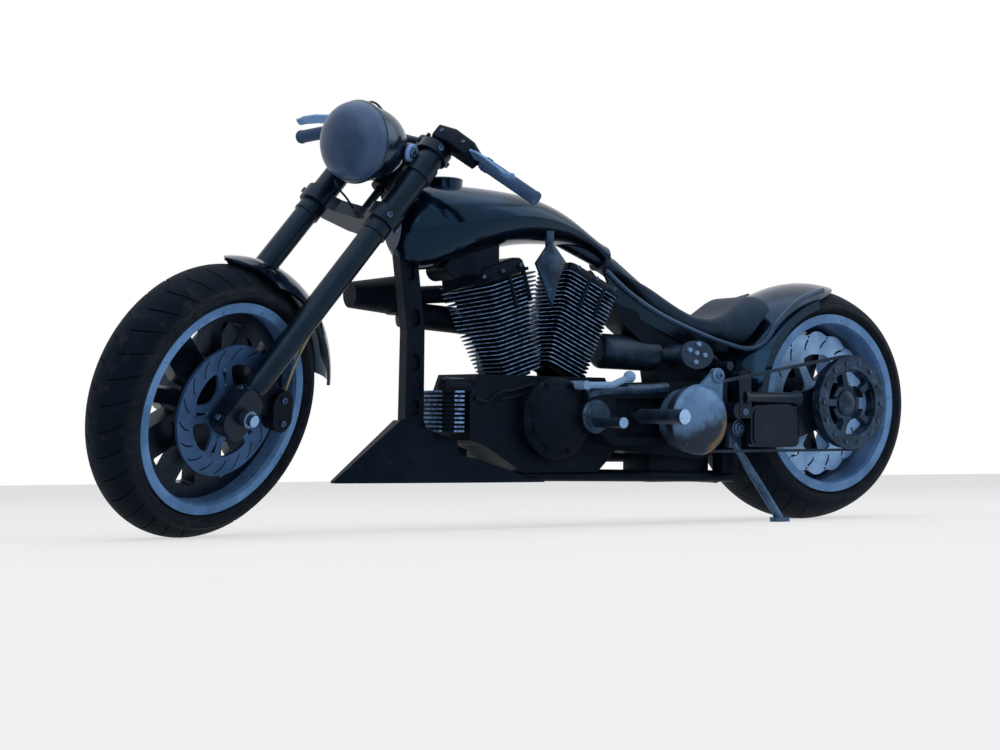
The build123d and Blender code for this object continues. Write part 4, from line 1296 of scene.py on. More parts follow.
@dataclass
class FrontWheel(Wheel):
    """Front wheel with its slotted disc."""

    body: ClassVar[Body] = Body.FRONT_WHEEL
    disc_radius: float = 22.7
    disc_back: float = 10.0
    disc_face: float = 11.2
    arm_angle: float = -3.0

    def build(self, model: Model) -> None:
        """Dress the wheel and add its screws.

        Args:
            model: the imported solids.
        """
        model.paint(self.paints.front_silver, "front_rim")
        model.paint(self.paints.centres, "front_wheel_centre")
        model.paint(self.paints.front_disc, "front_brake_disc")
        model.paint(self.paints.front_rubber, "front_tyre")
        self.tyre(self.paints.front_rubber)
        self.valve(60)
        self.disc()
        form = Form("front_disc_screws")
        for reach in (9.6, 15.4):
            form.screws(5, reach, self.disc_face, (0.75, 0.4), start=self.arm_angle)
        self.put(form, self.paints.screws, Slot.STEEL)

    def disc(self) -> None:
        """Slotted disc with five pairs of arms, in place of the plainer solid."""
        holes = [ring_of(2.9, 32)]
        for k in range(5):
            arm = 72 * k + self.arm_angle
            holes.append(window(9.4, 15.9, arm + 11, arm + 61, 2.2))
            holes.append(rounded([polar(9.0, arm), polar(15.6, arm - 3.4),
                                  polar(15.6, arm + 3.4)], 0.6))
        holes += [slit(17.6, 21.9, 20 * k, 13, 0.5) for k in range(18)]
        form = Form("front_slotted_disc")
        form.sheet(ring_of(self.disc_radius, 120), holes, self.disc_back, self.disc_face)
        piece = self.put(form, self.paints.front_disc, Slot.DISC)
        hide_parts("front_brake_disc")


@dataclass
class RearWheel(Wheel):
    """Rear wheel with its pulley and discs."""

    body: ClassVar[Body] = Body.REAR_WHEEL
    disc_radius: float = 30.6
    disc_back: float = 9.6
    disc_face: float = 10.8
    lobes: int = 16
    lobe_depth: float = 1.3

    def build(self, model: Model) -> None:
        """Dress the wheel and add its screws.

        Args:
            model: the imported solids.
        """
        model.paint(self.paints.rear_silver, "rear_rim")
        model.paint(self.paints.centres, "rear_wheel_centre", "rear_disc_carrier")
        model.paint(self.paints.rear_disc, "rear_brake_disc")
        model.paint(self.paints.shield, "rear_pulley", "rear_hub_cap")
        model.paint(self.paints.rear_rubber, "rear_tyre")
        self.tyre(self.paints.rear_rubber)
        self.valve(200)
        self.face()
        for form in (Form("rear_disc_screws").screws(6, 8.4, -16.8, (0.9, 0.7), -1),
                     Form("pulley_screws").screws(14, 16.8, 31.75, (0.72, 0.12))):
            self.put(form, self.paints.screws, Slot.STEEL)

    def face(self) -> None:
        """Lobed and slotted steel disc on the wheel's left face, with its spokes."""
        holes = [window(9.5, 20.5, 60 * k + 5, 60 * k + 55, 2.0) for k in range(6)]
        step = 360 / self.lobes
        holes += [slit(23.4, 27.4, step * k + 4, 7, 0.9) for k in range(self.lobes)]
        for k in range(self.lobes):
            x, z = polar(28.6, step * k + 12)
            holes.append([(x + a, z + b) for a, b in ring_of(0.55, 12)])
        form = Form("rear_slotted_disc")
        form.sheet(ring_of(self.disc_radius, 192, self.lobe_depth, self.lobes),
                   [ring_of(5.4, 32), *holes], self.disc_back, self.disc_face)
        self.put(form, self.paints.rear_disc, Slot.DISC)


@dataclass
class FrontEnd(Part):
    """Fork, yokes, bar, lamp, fender and front brake."""

    body: ClassVar[Body] = Body.FORK
    lamp: Matrix
    spacing: float = 16.1
    ahead: float = 5.7
    sleeve: float = 4.8
    leg: float = 4.2
    lower_yoke: float = 85.5
    upper_yoke: float = 119.0
    leg_top: float = 124.0

    def build(self, model: Model) -> None:
        """Dress the front end and add its small parts.

        Args:
            model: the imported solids.
        """
        model.paint(self.paints.fork, "left_fork_leg", "right_fork_leg", "lower_yoke",
                    "upper_yoke", "steering_stem", "handlebar", "bar_clamp", "headlight_ears")
        model.paint(self.paints.axle, "front_axle")
        model.paint(self.paints.shell, "headlight_shell")
        model.paint(self.paints.lens, "headlight_lens")
        model.paint(self.paints.gloss, "front_fender")
        model.paint(self.paints.satin, "front_caliper")
        model.paint(self.paints.hose, "front_brake_hose")
        model.paint(self.paints.grips, "hand_grips")
        model.paint(self.paints.pale, "hand_levers")
        self.fork()
        self.headlight()
        self.levers()
        self.bar()
        self.grips()
        self.brake()
        self.fender()

    def fork(self) -> None:
        """Outer tubes with their sleeves, top caps, the stem's nut and the clamping screws."""
        tubes, caps, screws = Form("fork_tubes"), Form("fork_caps"), Form("yoke_screws")
        leg, sleeve = self.leg, self.sleeve
        outline = [(leg - 0.9, 0), (leg - 0.3, 1.6), (leg, 3.6), (leg, 71.9),
                   (sleeve - 0.1, 72.0), (sleeve, 72.2), (sleeve, 72.9), (sleeve - 0.15, 73.1),
                   (sleeve - 0.15, 114.2), (sleeve - 0.5, 114.6)]
        for side in Side:
            y = side.value * self.spacing
            tubes.lathe(outline, (self.ahead, y, 9.0), (0, 0, 1), 48)
            caps.lathe([(4.2, 0), (4.2, 0.6), (3.6, 1.0), (1.9, 1.1), (1.9, 1.9), (1.4, 2.2)],
                       (self.ahead, y, self.leg_top - 0.1), (0, 0, 1), 40)
            for height in (self.lower_yoke + 2.75, self.upper_yoke + 2.0):
                screws.screw((9.4, side.value * 20.4, height), (0.61, side.value * 0.79, 0),
                             1.1, 0.9)
                screws.screw((0.6, side.value * 19.1, height), (-0.82, side.value * 0.57, 0),
                             1.1, 0.9)
        caps.nut((0, 0, self.upper_yoke + 3.9), (0, 0, 1), 3.4, 0.9)
        self.put(tubes, self.paints.fork, Slot.SATIN)
        self.put(caps, self.paints.pale, Slot.BAR)
        self.put(screws, self.paints.screws, Slot.STEEL)
        feet = Form("axle_clamp_screws")
        for side in Side:
            for height in (-6.0, 6.6):
                feet.screw((self.ahead + 4.6, side.value * 15.6, height), (1, 0, 0), 1.0, 0.8)
        self.put(feet, self.paints.screws, Slot.STEEL)

    def headlight(self) -> None:
        """Glass, bezel, ear washers and wires of the lamp."""
        glass = Form("lamp_glass")
        outline = [(12.4, -0.9), (14.1, -1.1), (14.45, -0.8), (14.5, -0.3), (14.25, 0.4)]
        for k in range(1, 12):
            angle = math.radians(90 * k / 12)
            outline.append((14.2 * math.cos(angle), 0.4 + 8.4 * math.sin(angle)))
        glass.lathe(outline, (0, 0, 0), (1, 0, 0), 96)
        piece = glass.place(self.lamp, self.paints.lens, self.body, Slot.LENS)
        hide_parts("headlight_lens")
        bezel = Form("lamp_bezel")
        bezel.lathe([(13.8, -1.7), (14.4, -1.6), (14.75, -1.2), (14.75, -0.6), (14.5, -0.2),
                     (14.0, -0.3)], (0, 0, 0), (1, 0, 0), 96)
        bezel.lathe([(13.4, -4.6), (13.75, -4.4), (13.75, -3.9), (13.4, -3.7)], (0, 0, 0),
                    (1, 0, 0), 72)
        bezel.screw((-1.9, 0, -13.6), (0, 0, -1), 0.9, 0.5)
        bezel.place(self.lamp, self.paints.shell, self.body, Slot.GLOSS)
        ears, screws = Form("lamp_ear_washers"), Form("lamp_ear_screws")
        back, rise = polar(15.0, RAKE)
        for side in Side:
            base = (LAMP_AHEAD - back, side.value * 13.5, LAMP_UP + rise)
            ears.lathe([(3.3, 0), (3.3, 0.7), (2.9, 1.2), (2.0, 1.35), (1.7, 1.0), (1.0, 0.9)],
                       base, (0, side.value, 0))
            screws.screw((base[0], side.value * 14.5, base[2]), (0, side.value, 0), 1.55, 0.9)
        self.put(ears, self.paints.pale, Slot.BAR)
        self.put(screws, self.paints.screws, Slot.STEEL)
        wires = Form("lamp_wires")
        wires.tube([(16.5, -4, 91.5), (15.5, -2, 89.5), (11.5, 0.5, 88.9), (6.5, 1.5, 88.6)], 0.4)
        wires.tube([(6, -26, 132.8), (12, -20, 131.5), (16, -12, 128.4), (15.5, -5, 124.5),
                    (11, -3, 121.3)], 0.45)
        self.put(wires, self.paints.satin, Slot.RUBBER)

    def sections(self, side: Side, rows: Sequence[Point], radius: float,
                 slope: float = 1.0) -> list[list[Vector]]:
        """Rounded sections of a piece that runs out along the bar.

        Args:
            side: the side that it is on.
            rows: distance out, place ahead and up, half width and half height of each.
            radius: rounding of the corners.
            slope: height of the front edge, as a share of the back edge's.

        Returns:
            The sections, one ring of points each.
        """
        found = []
        for y, a, s, wide, tall in rows:
            corners = [(a - wide, s - tall), (a + wide, s - tall), (a + wide, s + tall * slope),
                       (a - wide, s + tall)]
            found.append([Vector((x, side.value * y, z)) for x, z in rounded(corners, radius, 3)])
        return found

    def levers(self) -> None:
        """Housings and blades of the levers, with their screws."""
        housings, blades = Form("lever_housings"), Form("lever_blades")
        screws = Form("lever_screws")
        housing = [(14.0, 7.4, 127.6, 3.0, 2.4), (14.8, 7.4, 127.5, 4.0, 3.4),
                   (22.0, 6.6, 127.2, 4.3, 3.8), (30.6, 4.6, 125.2, 4.3, 3.6),
                   (31.8, 4.4, 124.8, 3.3, 2.6)]
        blade = [(30.5, 6.2, 124.4, 2.2, 0.55), (36.0, 7.4, 122.9, 2.3, 0.55),
                 (41.0, 8.0, 121.3, 2.1, 0.55), (46.5, 7.4, 119.7, 1.9, 0.55),
                 (49.6, 6.0, 119.3, 1.5, 0.55), (52.0, 4.8, 120.4, 1.2, 0.55)]
        for side in Side:
            housings.skin(self.sections(side, housing, 1.3, 0.8))
            blades.skin(self.sections(side, blade, 0.5))
            screws.screw((6.6, side.value * 31.2, 124.8), (0, 0, 1), 1.1, 0.6)
            for a, y, s in ((11.2, 17.5, 127.4), (9.6, 27.5, 126.0)):
                screws.screw((a, side.value * y, s), (1, 0, 0), 0.8, 0.5)
        piece = self.put(housings, self.paints.satin, Slot.SATIN)
        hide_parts("hand_levers")
        self.put(blades, self.paints.pale, Slot.SATIN)
        self.put(screws, self.paints.screws, Slot.STEEL)

    def grips(self) -> None:
        """Caps at the grips' outer ends and two beads at their inner ends."""
        ends = Form("grip_ends")
        tip, shoulder = Vector((-5.7, 56.0, 121.3)), Vector((5.2, 17.5, 128.6))
        for side in Side:
            flip = Vector((1, side.value, 1))
            along = (tip - shoulder).normalized() * flip
            end = tip * flip + along * 0.1
            ends.lathe([(2.45, 0), (2.65, 0.2), (2.65, 0.7), (2.2, 1.15), (0.9, 1.3)], end,
                       along, 32)
            for reach in (22.4, 23.6):
                ends.lathe([(2.4, 0), (2.75, 0.15), (2.75, 0.65), (2.4, 0.8)],
                           end - along * reach, along, 32)
        self.put(ends, self.paints.grips, Slot.RUBBER)

    def brake(self) -> None:
        """Screws of the caliper, and the hose that runs down to it."""
        screws = Form("front_caliper_screws")
        for shift in (-4.2, 4.2):
            x, z = polar(shift, 40.0)
            screws.screw((AXLE_AHEAD - 15.4 + x, 16.9, 13.3 + z), (0, 1, 0), 1.1, 0.9)
        self.put(screws, self.paints.screws, Slot.STEEL)
        hose = Form("thin_brake_hose")
        hose.tube([(0.6, 16.1, 84.0), (1.2, 16.1, 66.0), (1.2, 16.1, 46.0), (-2.6, 15.4, 31.0),
                   (-10.2, 14.1, 17.5)], 0.5)
        piece = self.put(hose, self.paints.hose, Slot.HOSE)
        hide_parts("front_brake_hose")

    def fender(self) -> None:
        """Short crowned fender with a swept tip."""
        centre, back, crown, wall = 36.4, 4.7, 14.1, 1.1
        tip, tip_sweep, tail = 81.0, 20.0, 169.5
        rings = []
        for k in range(25):
            share = k / 12 - 1
            across = math.radians(60.0) * share
            start = tip + tip_sweep * abs(share) ** 1.3
            turns = [math.radians(start + (tail - start) * step / 48) for step in range(49)]
            ring = []
            for radius, order in ((crown, turns), (crown - wall, reversed(turns))):
                reach, y = centre + radius * math.cos(across), radius * math.sin(across)
                ring += [(reach * math.cos(turn) - back, y, reach * math.sin(turn))
                         for turn in order]
            rings.append(ring)
        form = Form("front_fender_shell").skin(rings)
        place = self.matrix @ shifted(AXLE_AHEAD, 0, 0, RAKE)
        piece = form.place(place, self.paints.gloss, self.body, Slot.GLOSS)
        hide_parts("front_fender")

    def bar(self) -> None:
        """Low swept bar and its two clamps on the upper yoke."""
        half = [(3.2, 8.0, 125.8), (4.6, 14.0, 126.6), (3.6, 22.0, 127.2), (-0.6, 37.5, 124.8),
                (-5.7, 56.0, 121.3)]
        points = [(a, -y, s) for a, y, s in reversed(half)] + half
        bar = Form("swept_bar").tube(points, 1.85, 20, 6)
        piece = self.put(bar, self.paints.fork, Slot.BAR)
        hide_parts("handlebar")
        clamps = Form("bar_clamps")
        for side in Side:
            y = side.value * 8.0
            clamps.rod((3.2, y - 3.0, 125.8), (3.2, y + 3.0, 125.8), 3.1, 32, 0.4)
            clamps.box((3.2, y, 123.6), (5.0, 5.6, 3.2), 0.4)
            for a in (0.9, 5.5):
                clamps.screw((a, y, 127.9), (0, 0, 1), 0.8, 0.9)
        piece = self.put(clamps, self.paints.fork, Slot.BAR)
        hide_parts("bar_clamp")


@dataclass
class Bodywork(Part):
    """Frame, tank, seat and rear fender."""

    neck: float = 278.24

    def build(self, model: Model) -> None:
        """Dress the frame and add its small parts.

        Args:
            model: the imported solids.
        """
        model.paint(self.paints.gloss, "fuel_tank", "rear_fender")
        model.paint(self.paints.spine, "backbone")
        model.paint(self.paints.seat, "seat")
        model.paint(self.paints.satin, "head_tube", "downtube", "chin_fairing",
                    "left_lower_rail", "right_lower_rail")
        self.cap()
        self.edging()
        self.blocks()

    def cap(self) -> None:
        """Filler cap with its knurled edge."""
        form = Form("filler_cap")
        foot = (self.neck - 92.6, 0, 79.2)

        def knurl(index: int, angle: float) -> float:
            """Radius of the knurled edge."""
            return 1.0 + (0.012 * math.cos(30 * angle) if index in (1, 2) else 0.0)

        form.lathe([(7.2, 0), (7.45, 0.2), (7.45, 0.9), (7.0, 1.2), (3.0, 1.3)], foot,
                   (0, 0, 1), 120, knurl)
        self.put(form, self.paints.gloss, Slot.GLOSS)

    def edging(self) -> None:
        """Rails beside the seat and along the rear fender, and the flanks under them."""
        form = Form("seat_rails")
        for side in Side:
            points = [(112.0, 5.2, 50.5), (100.5, 6.8, 41.8), (86.0, 8.6, 34.0),
                      (68.0, 10.4, 27.6), (54.0, 12.8, 23.4), (45.2, 16.0, 21.6),
                      (39.6, 19.6, 24.4), (34.0, 22.0, 33.2), (21.5, 22.6, 43.0), (9.0, 22.4, 47.2)]
            form.tube([(x, side.value * y, z) for x, y, z in points], 1.1, 16)
        self.put(form, self.paints.rails, Slot.GLOSS)
        flank, thick = Form("seat_flanks"), 1.2
        high = [(113.0, 5.0, 51.0), (100.5, 6.6, 41.8), (86.0, 8.4, 34.0), (68.0, 10.2, 27.6),
                (54.0, 12.6, 23.4)]
        low = [(106.5, 5.2, 37.4), (91.5, 6.2, 30.4), (75.0, 7.6, 24.0), (62.0, 8.8, 21.6),
               (51.0, 10.4, 19.6)]
        for side in Side:
            flank.skin([[(row[0], side.value * (row[1] - depth), row[2])
                         for depth, row in ((0, top), (0, foot), (thick, foot), (thick, top))]
                        for top, foot in zip(high, low)])
        self.put(flank, self.paints.spine, Slot.GLOSS)

    def blocks(self) -> None:
        """Coil block under the tank, battery box under the seat and sump block."""
        coil = Form("coil_block").box((175.5, 0, 51.5), (23.0, 14.0, 14.0), 1.2)
        coil.rod((184.0, 7.4, 47.0), (184.0, -7.4, 47.0), 4.2, 32, 0.5)
        for y in (-3.2, 3.2):
            coil.tube([(186.0, y, 53.0), (191.0, y * 1.2, 51.5), (194.0, y * 0.6, 47.0)], 0.7, 12)
        self.put(coil, self.paints.satin, Slot.SATIN)
        box = Form("battery_box")
        box.sheet(rounded([(108.5, 38.5), (104.0, 30.0), (93.0, 22.5), (85.0, 14.5), (83.0, 3.0),
                           (57.5, 3.0), (56.0, 19.0), (62.0, 24.0), (75.0, 27.0), (91.5, 33.5)],
                          2.0, 4), [], -6.0, 6.0)
        for x in (64.0, 76.0):
            box.screw((x, 6.0, 16.0), (0, 1, 0), 1.0, 0.6)
        box.box((75.5, 0, -26.5), (32.0, 17.0, 13.0), 1.5)
        self.put(box, self.paints.satin, Slot.SATIN)


@dataclass
class Engine(Part):
    """Engine, gearbox, oil tank and intake."""

    x: float = ENGINE_X

    def build(self, model: Model) -> None:
        """Dress the engine and add its screws, lines and mesh.

        Args:
            model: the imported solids.
        """
        model.paint(self.paints.engine, "crankcase", "gearbox", "exhaust_pipes", "air_intake")
        model.paint(self.paints.satin, "front_rocker_cover", "rear_rocker_cover")
        model.paint(self.paints.fin_black, "front_cylinder", "rear_cylinder", "regulator")
        model.paint(self.paints.studs, "oil_tank")
        model.paint(self.paints.shield, "horn_cover")
        self.covers()
        self.mesh_panel()
        self.shield()
        self.regulator()
        self.mouldings()

    def covers(self) -> None:
        """Stepped side covers with their ring of screws."""
        covers, screws = Form("case_covers"), Form("case_screws")
        outline = [(15.5, 0), (15.5, 0.4), (14.9, 0.8), (12.2, 0.9), (11.8, 1.5), (9.0, 2.2),
                   (4.0, 2.6)]
        for side in Side:
            covers.lathe(outline, (self.x, side.value * 16.6, CASE_Z), (0, side.value, 0), 72)
            screws.screws(8, 13.6, side.value * 17.4, (0.9, 0.7), side.value, 22.5,
                          (self.x, CASE_Z))
        self.put(covers, self.paints.engine, Slot.SATIN)
        self.put(screws, self.paints.satin, Slot.SATIN)

    def shield(self) -> None:
        """Kite-shaped horn shield with a ridge down its middle."""
        kite = [(145.5, 59.3), (152.4, 50.3), (150.2, 45.9), (144.7, 34.4), (141.0, 45.7),
                (138.3, 51.4)]
        ridge = (145.0, 16.1, 48.6)
        form = Form("horn_shield")
        back = [form.mesh.verts.new((x, 12.9, z)) for x, z in kite]
        edge = [form.mesh.verts.new((x, 14.2, z)) for x, z in kite]
        inner = [form.mesh.verts.new((x * 0.6 + ridge[0] * 0.4, 15.6, z * 0.6 + ridge[2] * 0.4))
                 for x, z in kite]
        top = form.mesh.verts.new(ridge)
        for k in range(len(kite)):
            after = (k + 1) % len(kite)
            form.mesh.faces.new((back[k], back[after], edge[after], edge[k]))
            form.mesh.faces.new((edge[k], edge[after], inner[after], inner[k]))
            form.mesh.faces.new((inner[k], inner[after], top))
        form.mesh.faces.new(list(reversed(back)))
        form.box((145.2, 12.6, 58.5), (3.4, 1.2, 9.0), 0.2)
        piece = self.put(form, self.paints.shield, Slot.SATIN)
        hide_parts("horn_cover")

    def regulator(self) -> None:
        """Finned box in front of the crankcase."""
        form = Form("finned_regulator")
        back, middle, front = self.x + 39.0, self.x + 42.0, self.x + 47.4
        fins, pitch, foot = 10, 1.6, -13.4
        plan = rounded([(back, -8.5), (front, -8.5), (front, 9.5), (front - 4.0, 13.6),
                        (back, 13.6)], 1.5, 3)
        inner = [(middle + (x - middle) * 0.8, 3 + (y - 3) * 0.88) for x, y in plan]
        form.box((self.x + 35.0, 0, -5.0), (9.0, 12.0, 12.0), 0.6)
        for k in range(fins):
            z = foot + pitch * k
            form.skin([[(x, y, z + lift) for x, y in plan] for lift in (0.0, 0.7)])
            if k < fins - 1:
                form.skin([[(x, y, z + lift) for x, y in inner] for lift in (0.6, 1.7)])

        def edge(face: bmesh.types.BMFace) -> bool:
            """Whether a face is the outer edge of a fin."""
            place = face.calc_center_median()
            return abs(face.normal.z) < 0.3 and (place.y > 12.9 or place.x > front - 0.4)

        piece = form.place(self.matrix, self.paints.fin_black, self.body, Slot.FINS,
                           self.paints.fin_edge, edge)
        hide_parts("regulator")

    def mouldings(self) -> None:
        """Arch over the crankcase, the filter can and the primary case's bright ledge."""
        arch = Form("case_arch")
        points = [(178.9, -0.9), (173.5, -2.3), (167.7, 1.2), (160.9, 2.4), (154.0, 4.2),
                  (143.7, 5.8), (135.1, 4.2), (128.6, 0.6)]
        for side in Side:
            arch.tube([(x, side.value * 13.0, z) for x, z in points], 0.9, 12)
            arch.tube([(x, side.value * 13.0, z - 2.6) for x, z in points[2:]], 0.6, 12)
        self.put(arch, self.paints.satin, Slot.SATIN)
        can = Form("filter_can")
        can.lathe([(1.7, 0), (2.1, 0.4), (2.1, 11.4), (2.3, 11.5), (2.3, 12.4), (1.8, 12.5),
                   (1.7, 11.9), (0.6, 11.9)], (self.x + 32.0, 8.0, 4.3), (1, 0, 0), 40)
        self.put(can, self.paints.rails, Slot.SATIN)
        ledge = Form("primary_ledge")
        line = [(132.0, 19.4, 1.0), (127.0, 20.2, 2.6), (118.0, 20.4, 3.4), (104.0, 20.4, 3.8),
                (93.0, 20.4, 4.6)]
        ledge.tube(line, 2.0, 20)
        ledge.rod((128.0, 19.0, -6.9), (128.0, 21.4, -6.9), 6.6, 48, 0.6)
        ledge.rod((128.0, 21.0, -6.9), (128.0, 22.0, -6.9), 4.8, 48, 0.4)
        self.put(ledge, self.paints.ledge, Slot.WORN)

    def mesh_panel(self) -> None:
        """Woven guard on the panel behind the clutch cover."""
        form = Form("mesh_guard")
        low_x, high_x, low_z, high_z, y = 56.4, 62.4, -11.5, 8.6, 15.6
        step, shortest, weave, wire = 1.25, 0.08, 0.12, 0.2
        count = int((high_z - low_z + high_x - low_x) / step)
        for k in range(1, count):
            offset = k * step
            for rising in (True, False):
                ends = []
                for x in (low_x, high_x):
                    z = low_z + offset - (x - low_x) if rising else low_z + offset - (high_x - x)
                    ends.append([x, z])
                (x0, z0), (x1, z1) = ends
                share = [(limit - z0) / (z1 - z0) for limit in (low_z, high_z)]
                t0, t1 = max(0.0, min(share)), min(1.0, max(share))
                if t1 - t0 < shortest:
                    continue
                depth = y + (weave if rising else 0.0)
                start = (x0 + (x1 - x0) * t0, depth, z0 + (z1 - z0) * t0)
                end = (x0 + (x1 - x0) * t1, depth, z0 + (z1 - z0) * t1)
                form.rod(start, end, wire, 6, 0.05)
        self.put(form, self.paints.screws, Slot.STEEL)


@dataclass
class Cylinder(Part):
    """Finned cylinder with its rocker cover; edges are given at the foot and at the top."""

    name: str
    foot: tuple[float, float]
    lean: float
    near: tuple[float, float]
    far: tuple[float, float]
    back: tuple[float, float]
    clip: float
    cover: tuple[float, float, float, float]
    studs: tuple[float, float]
    top: float = 36.0
    pitch: float = 1.6
    thick: float = 0.5
    width: tuple[float, float] = (9.8, 11.2)

    def turn(self) -> Matrix:
        """Frame at the cylinder's foot, its third axis up the cylinder."""
        return shifted(self.foot[0], 0, self.foot[1], self.lean)

    def plan(self, height: float, inset: float, radius: float) -> list[tuple[float, float]]:
        """Outline of a fin.

        Args:
            height: its place up the cylinder.
            inset: how far inside the outer edge it lies.
            radius: rounding of its corners.

        Returns:
            Points of (along, across).
        """
        share = min(1.0, height / self.top)
        near, far, back, wide = (pair[0] + (pair[1] - pair[0]) * share
                                 for pair in (self.near, self.far, self.back, self.width))
        angle = math.radians(self.lean)
        limit = (self.clip - self.foot[0] - height * math.sin(angle)) / math.cos(angle)
        if self.lean > 0:
            back = max(back, limit)
        else:
            near, far = min(near, limit), min(far, limit)
        corners = [(back + inset, inset - wide), (far - inset, inset - wide),
                   (near - inset, wide - inset), (back + inset, wide - inset)]
        return rounded(corners, radius, 4)

    def build(self, model: Model) -> None:
        """Build the fins, the studs and the cover.

        Args:
            model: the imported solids.
        """
        turn = self.turn()
        fins = Form(self.name + "_fins")
        count = int(self.top / self.pitch)
        for k in range(count + 1):
            height = self.pitch * k
            rings = []
            for lift, inset in ((0.0, 0.25), (0.1, 0.0), (self.thick - 0.1, 0.0),
                                (self.thick, 0.25)):
                rings.append([turn @ Vector((a, y, height + lift)) for a,
                              y in self.plan(height, inset, 2.4)])
            fins.skin(rings)
        core = [[turn @ Vector((a, y, h)) for a, y in self.plan(h, 2.8, 2.0)]
                for h in (-1.5, self.top / 2, self.top)]
        fins.skin(core)
        up = turn.to_3x3() @ Vector((0, 0, 1))
        across = self.width[0] - 1.2

        def edge(face: bmesh.types.BMFace) -> bool:
            """Whether a face is the outer edge of a fin.

            Args:
                face: the face, in the machine's frame.

            Returns:
                True for a narrow face that looks out between two fins.
            """
            middle = turn.inverted() @ face.calc_center_median()
            outer = (abs(middle.y) > across or middle.x > self.near[0] - 3.0
                     or middle.x < self.back[0] + 1.0)
            return abs(face.normal.dot(up)) < 0.4 and outer and face.calc_area() < 12.0

        piece = fins.place(self.matrix, self.paints.fin_black, self.body, Slot.FINS,
                           self.paints.fin_edge, edge)
        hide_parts(self.name)
        self.rocker(turn)

    def rocker(self, turn: Matrix) -> None:
        """Cover on the head with its screws, and the studs beside it.

        Args:
            turn: the cylinder's frame.
        """
        back, front, low, high = self.cover
        wide = self.width[1] - 1.4
        form = Form(self.name.replace("cylinder", "rocker_box"))
        rings = []
        for height, inset, radius in ((low, 0.0, 1.5), (low + 1.1, 0.0, 1.5),
                                      (low + 1.2, 0.7, 2.0), (high - 1.6, 0.9, 2.4),
                                      (high - 0.6, 1.4, 2.8), (high, 3.0, 3.0)):
            slant = (self.far[1] - self.near[1]) / 2
            corners = [(back + inset, inset - wide), (front + slant - inset, inset - wide),
                       (front - slant - inset, wide - inset), (back + inset, wide - inset)]
            rings.append([turn @ Vector((a, y, height)) for a, y in rounded(corners, radius, 5)])
        form.skin(rings)
        piece = self.put(form, self.paints.satin, Slot.SATIN)
        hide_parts(self.name.replace("cylinder", "rocker_cover"))
        screws, studs = Form(self.name + "_cover_screws"), Form(self.name + "_studs")
        for side in Side:
            for shift in (0.15, 0.5, 0.85):
                point = turn @ Vector((back + (front - back) * shift, side.value * (wide + 0.1),
                                       low + 2.6))
                screws.screw(point, (0, side.value, 0), 0.8, 0.5)
            for shift in self.studs:
                y = side.value * (self.width[1] - 0.5)
                studs.rod(turn @ Vector((shift, y, self.top - 10.5)),
                          turn @ Vector((shift, y, self.top + 1.2)), 0.95, 12)
        self.put(screws, self.paints.screws, Slot.STEEL)
        self.put(studs, self.paints.fin_black, Slot.FINS)


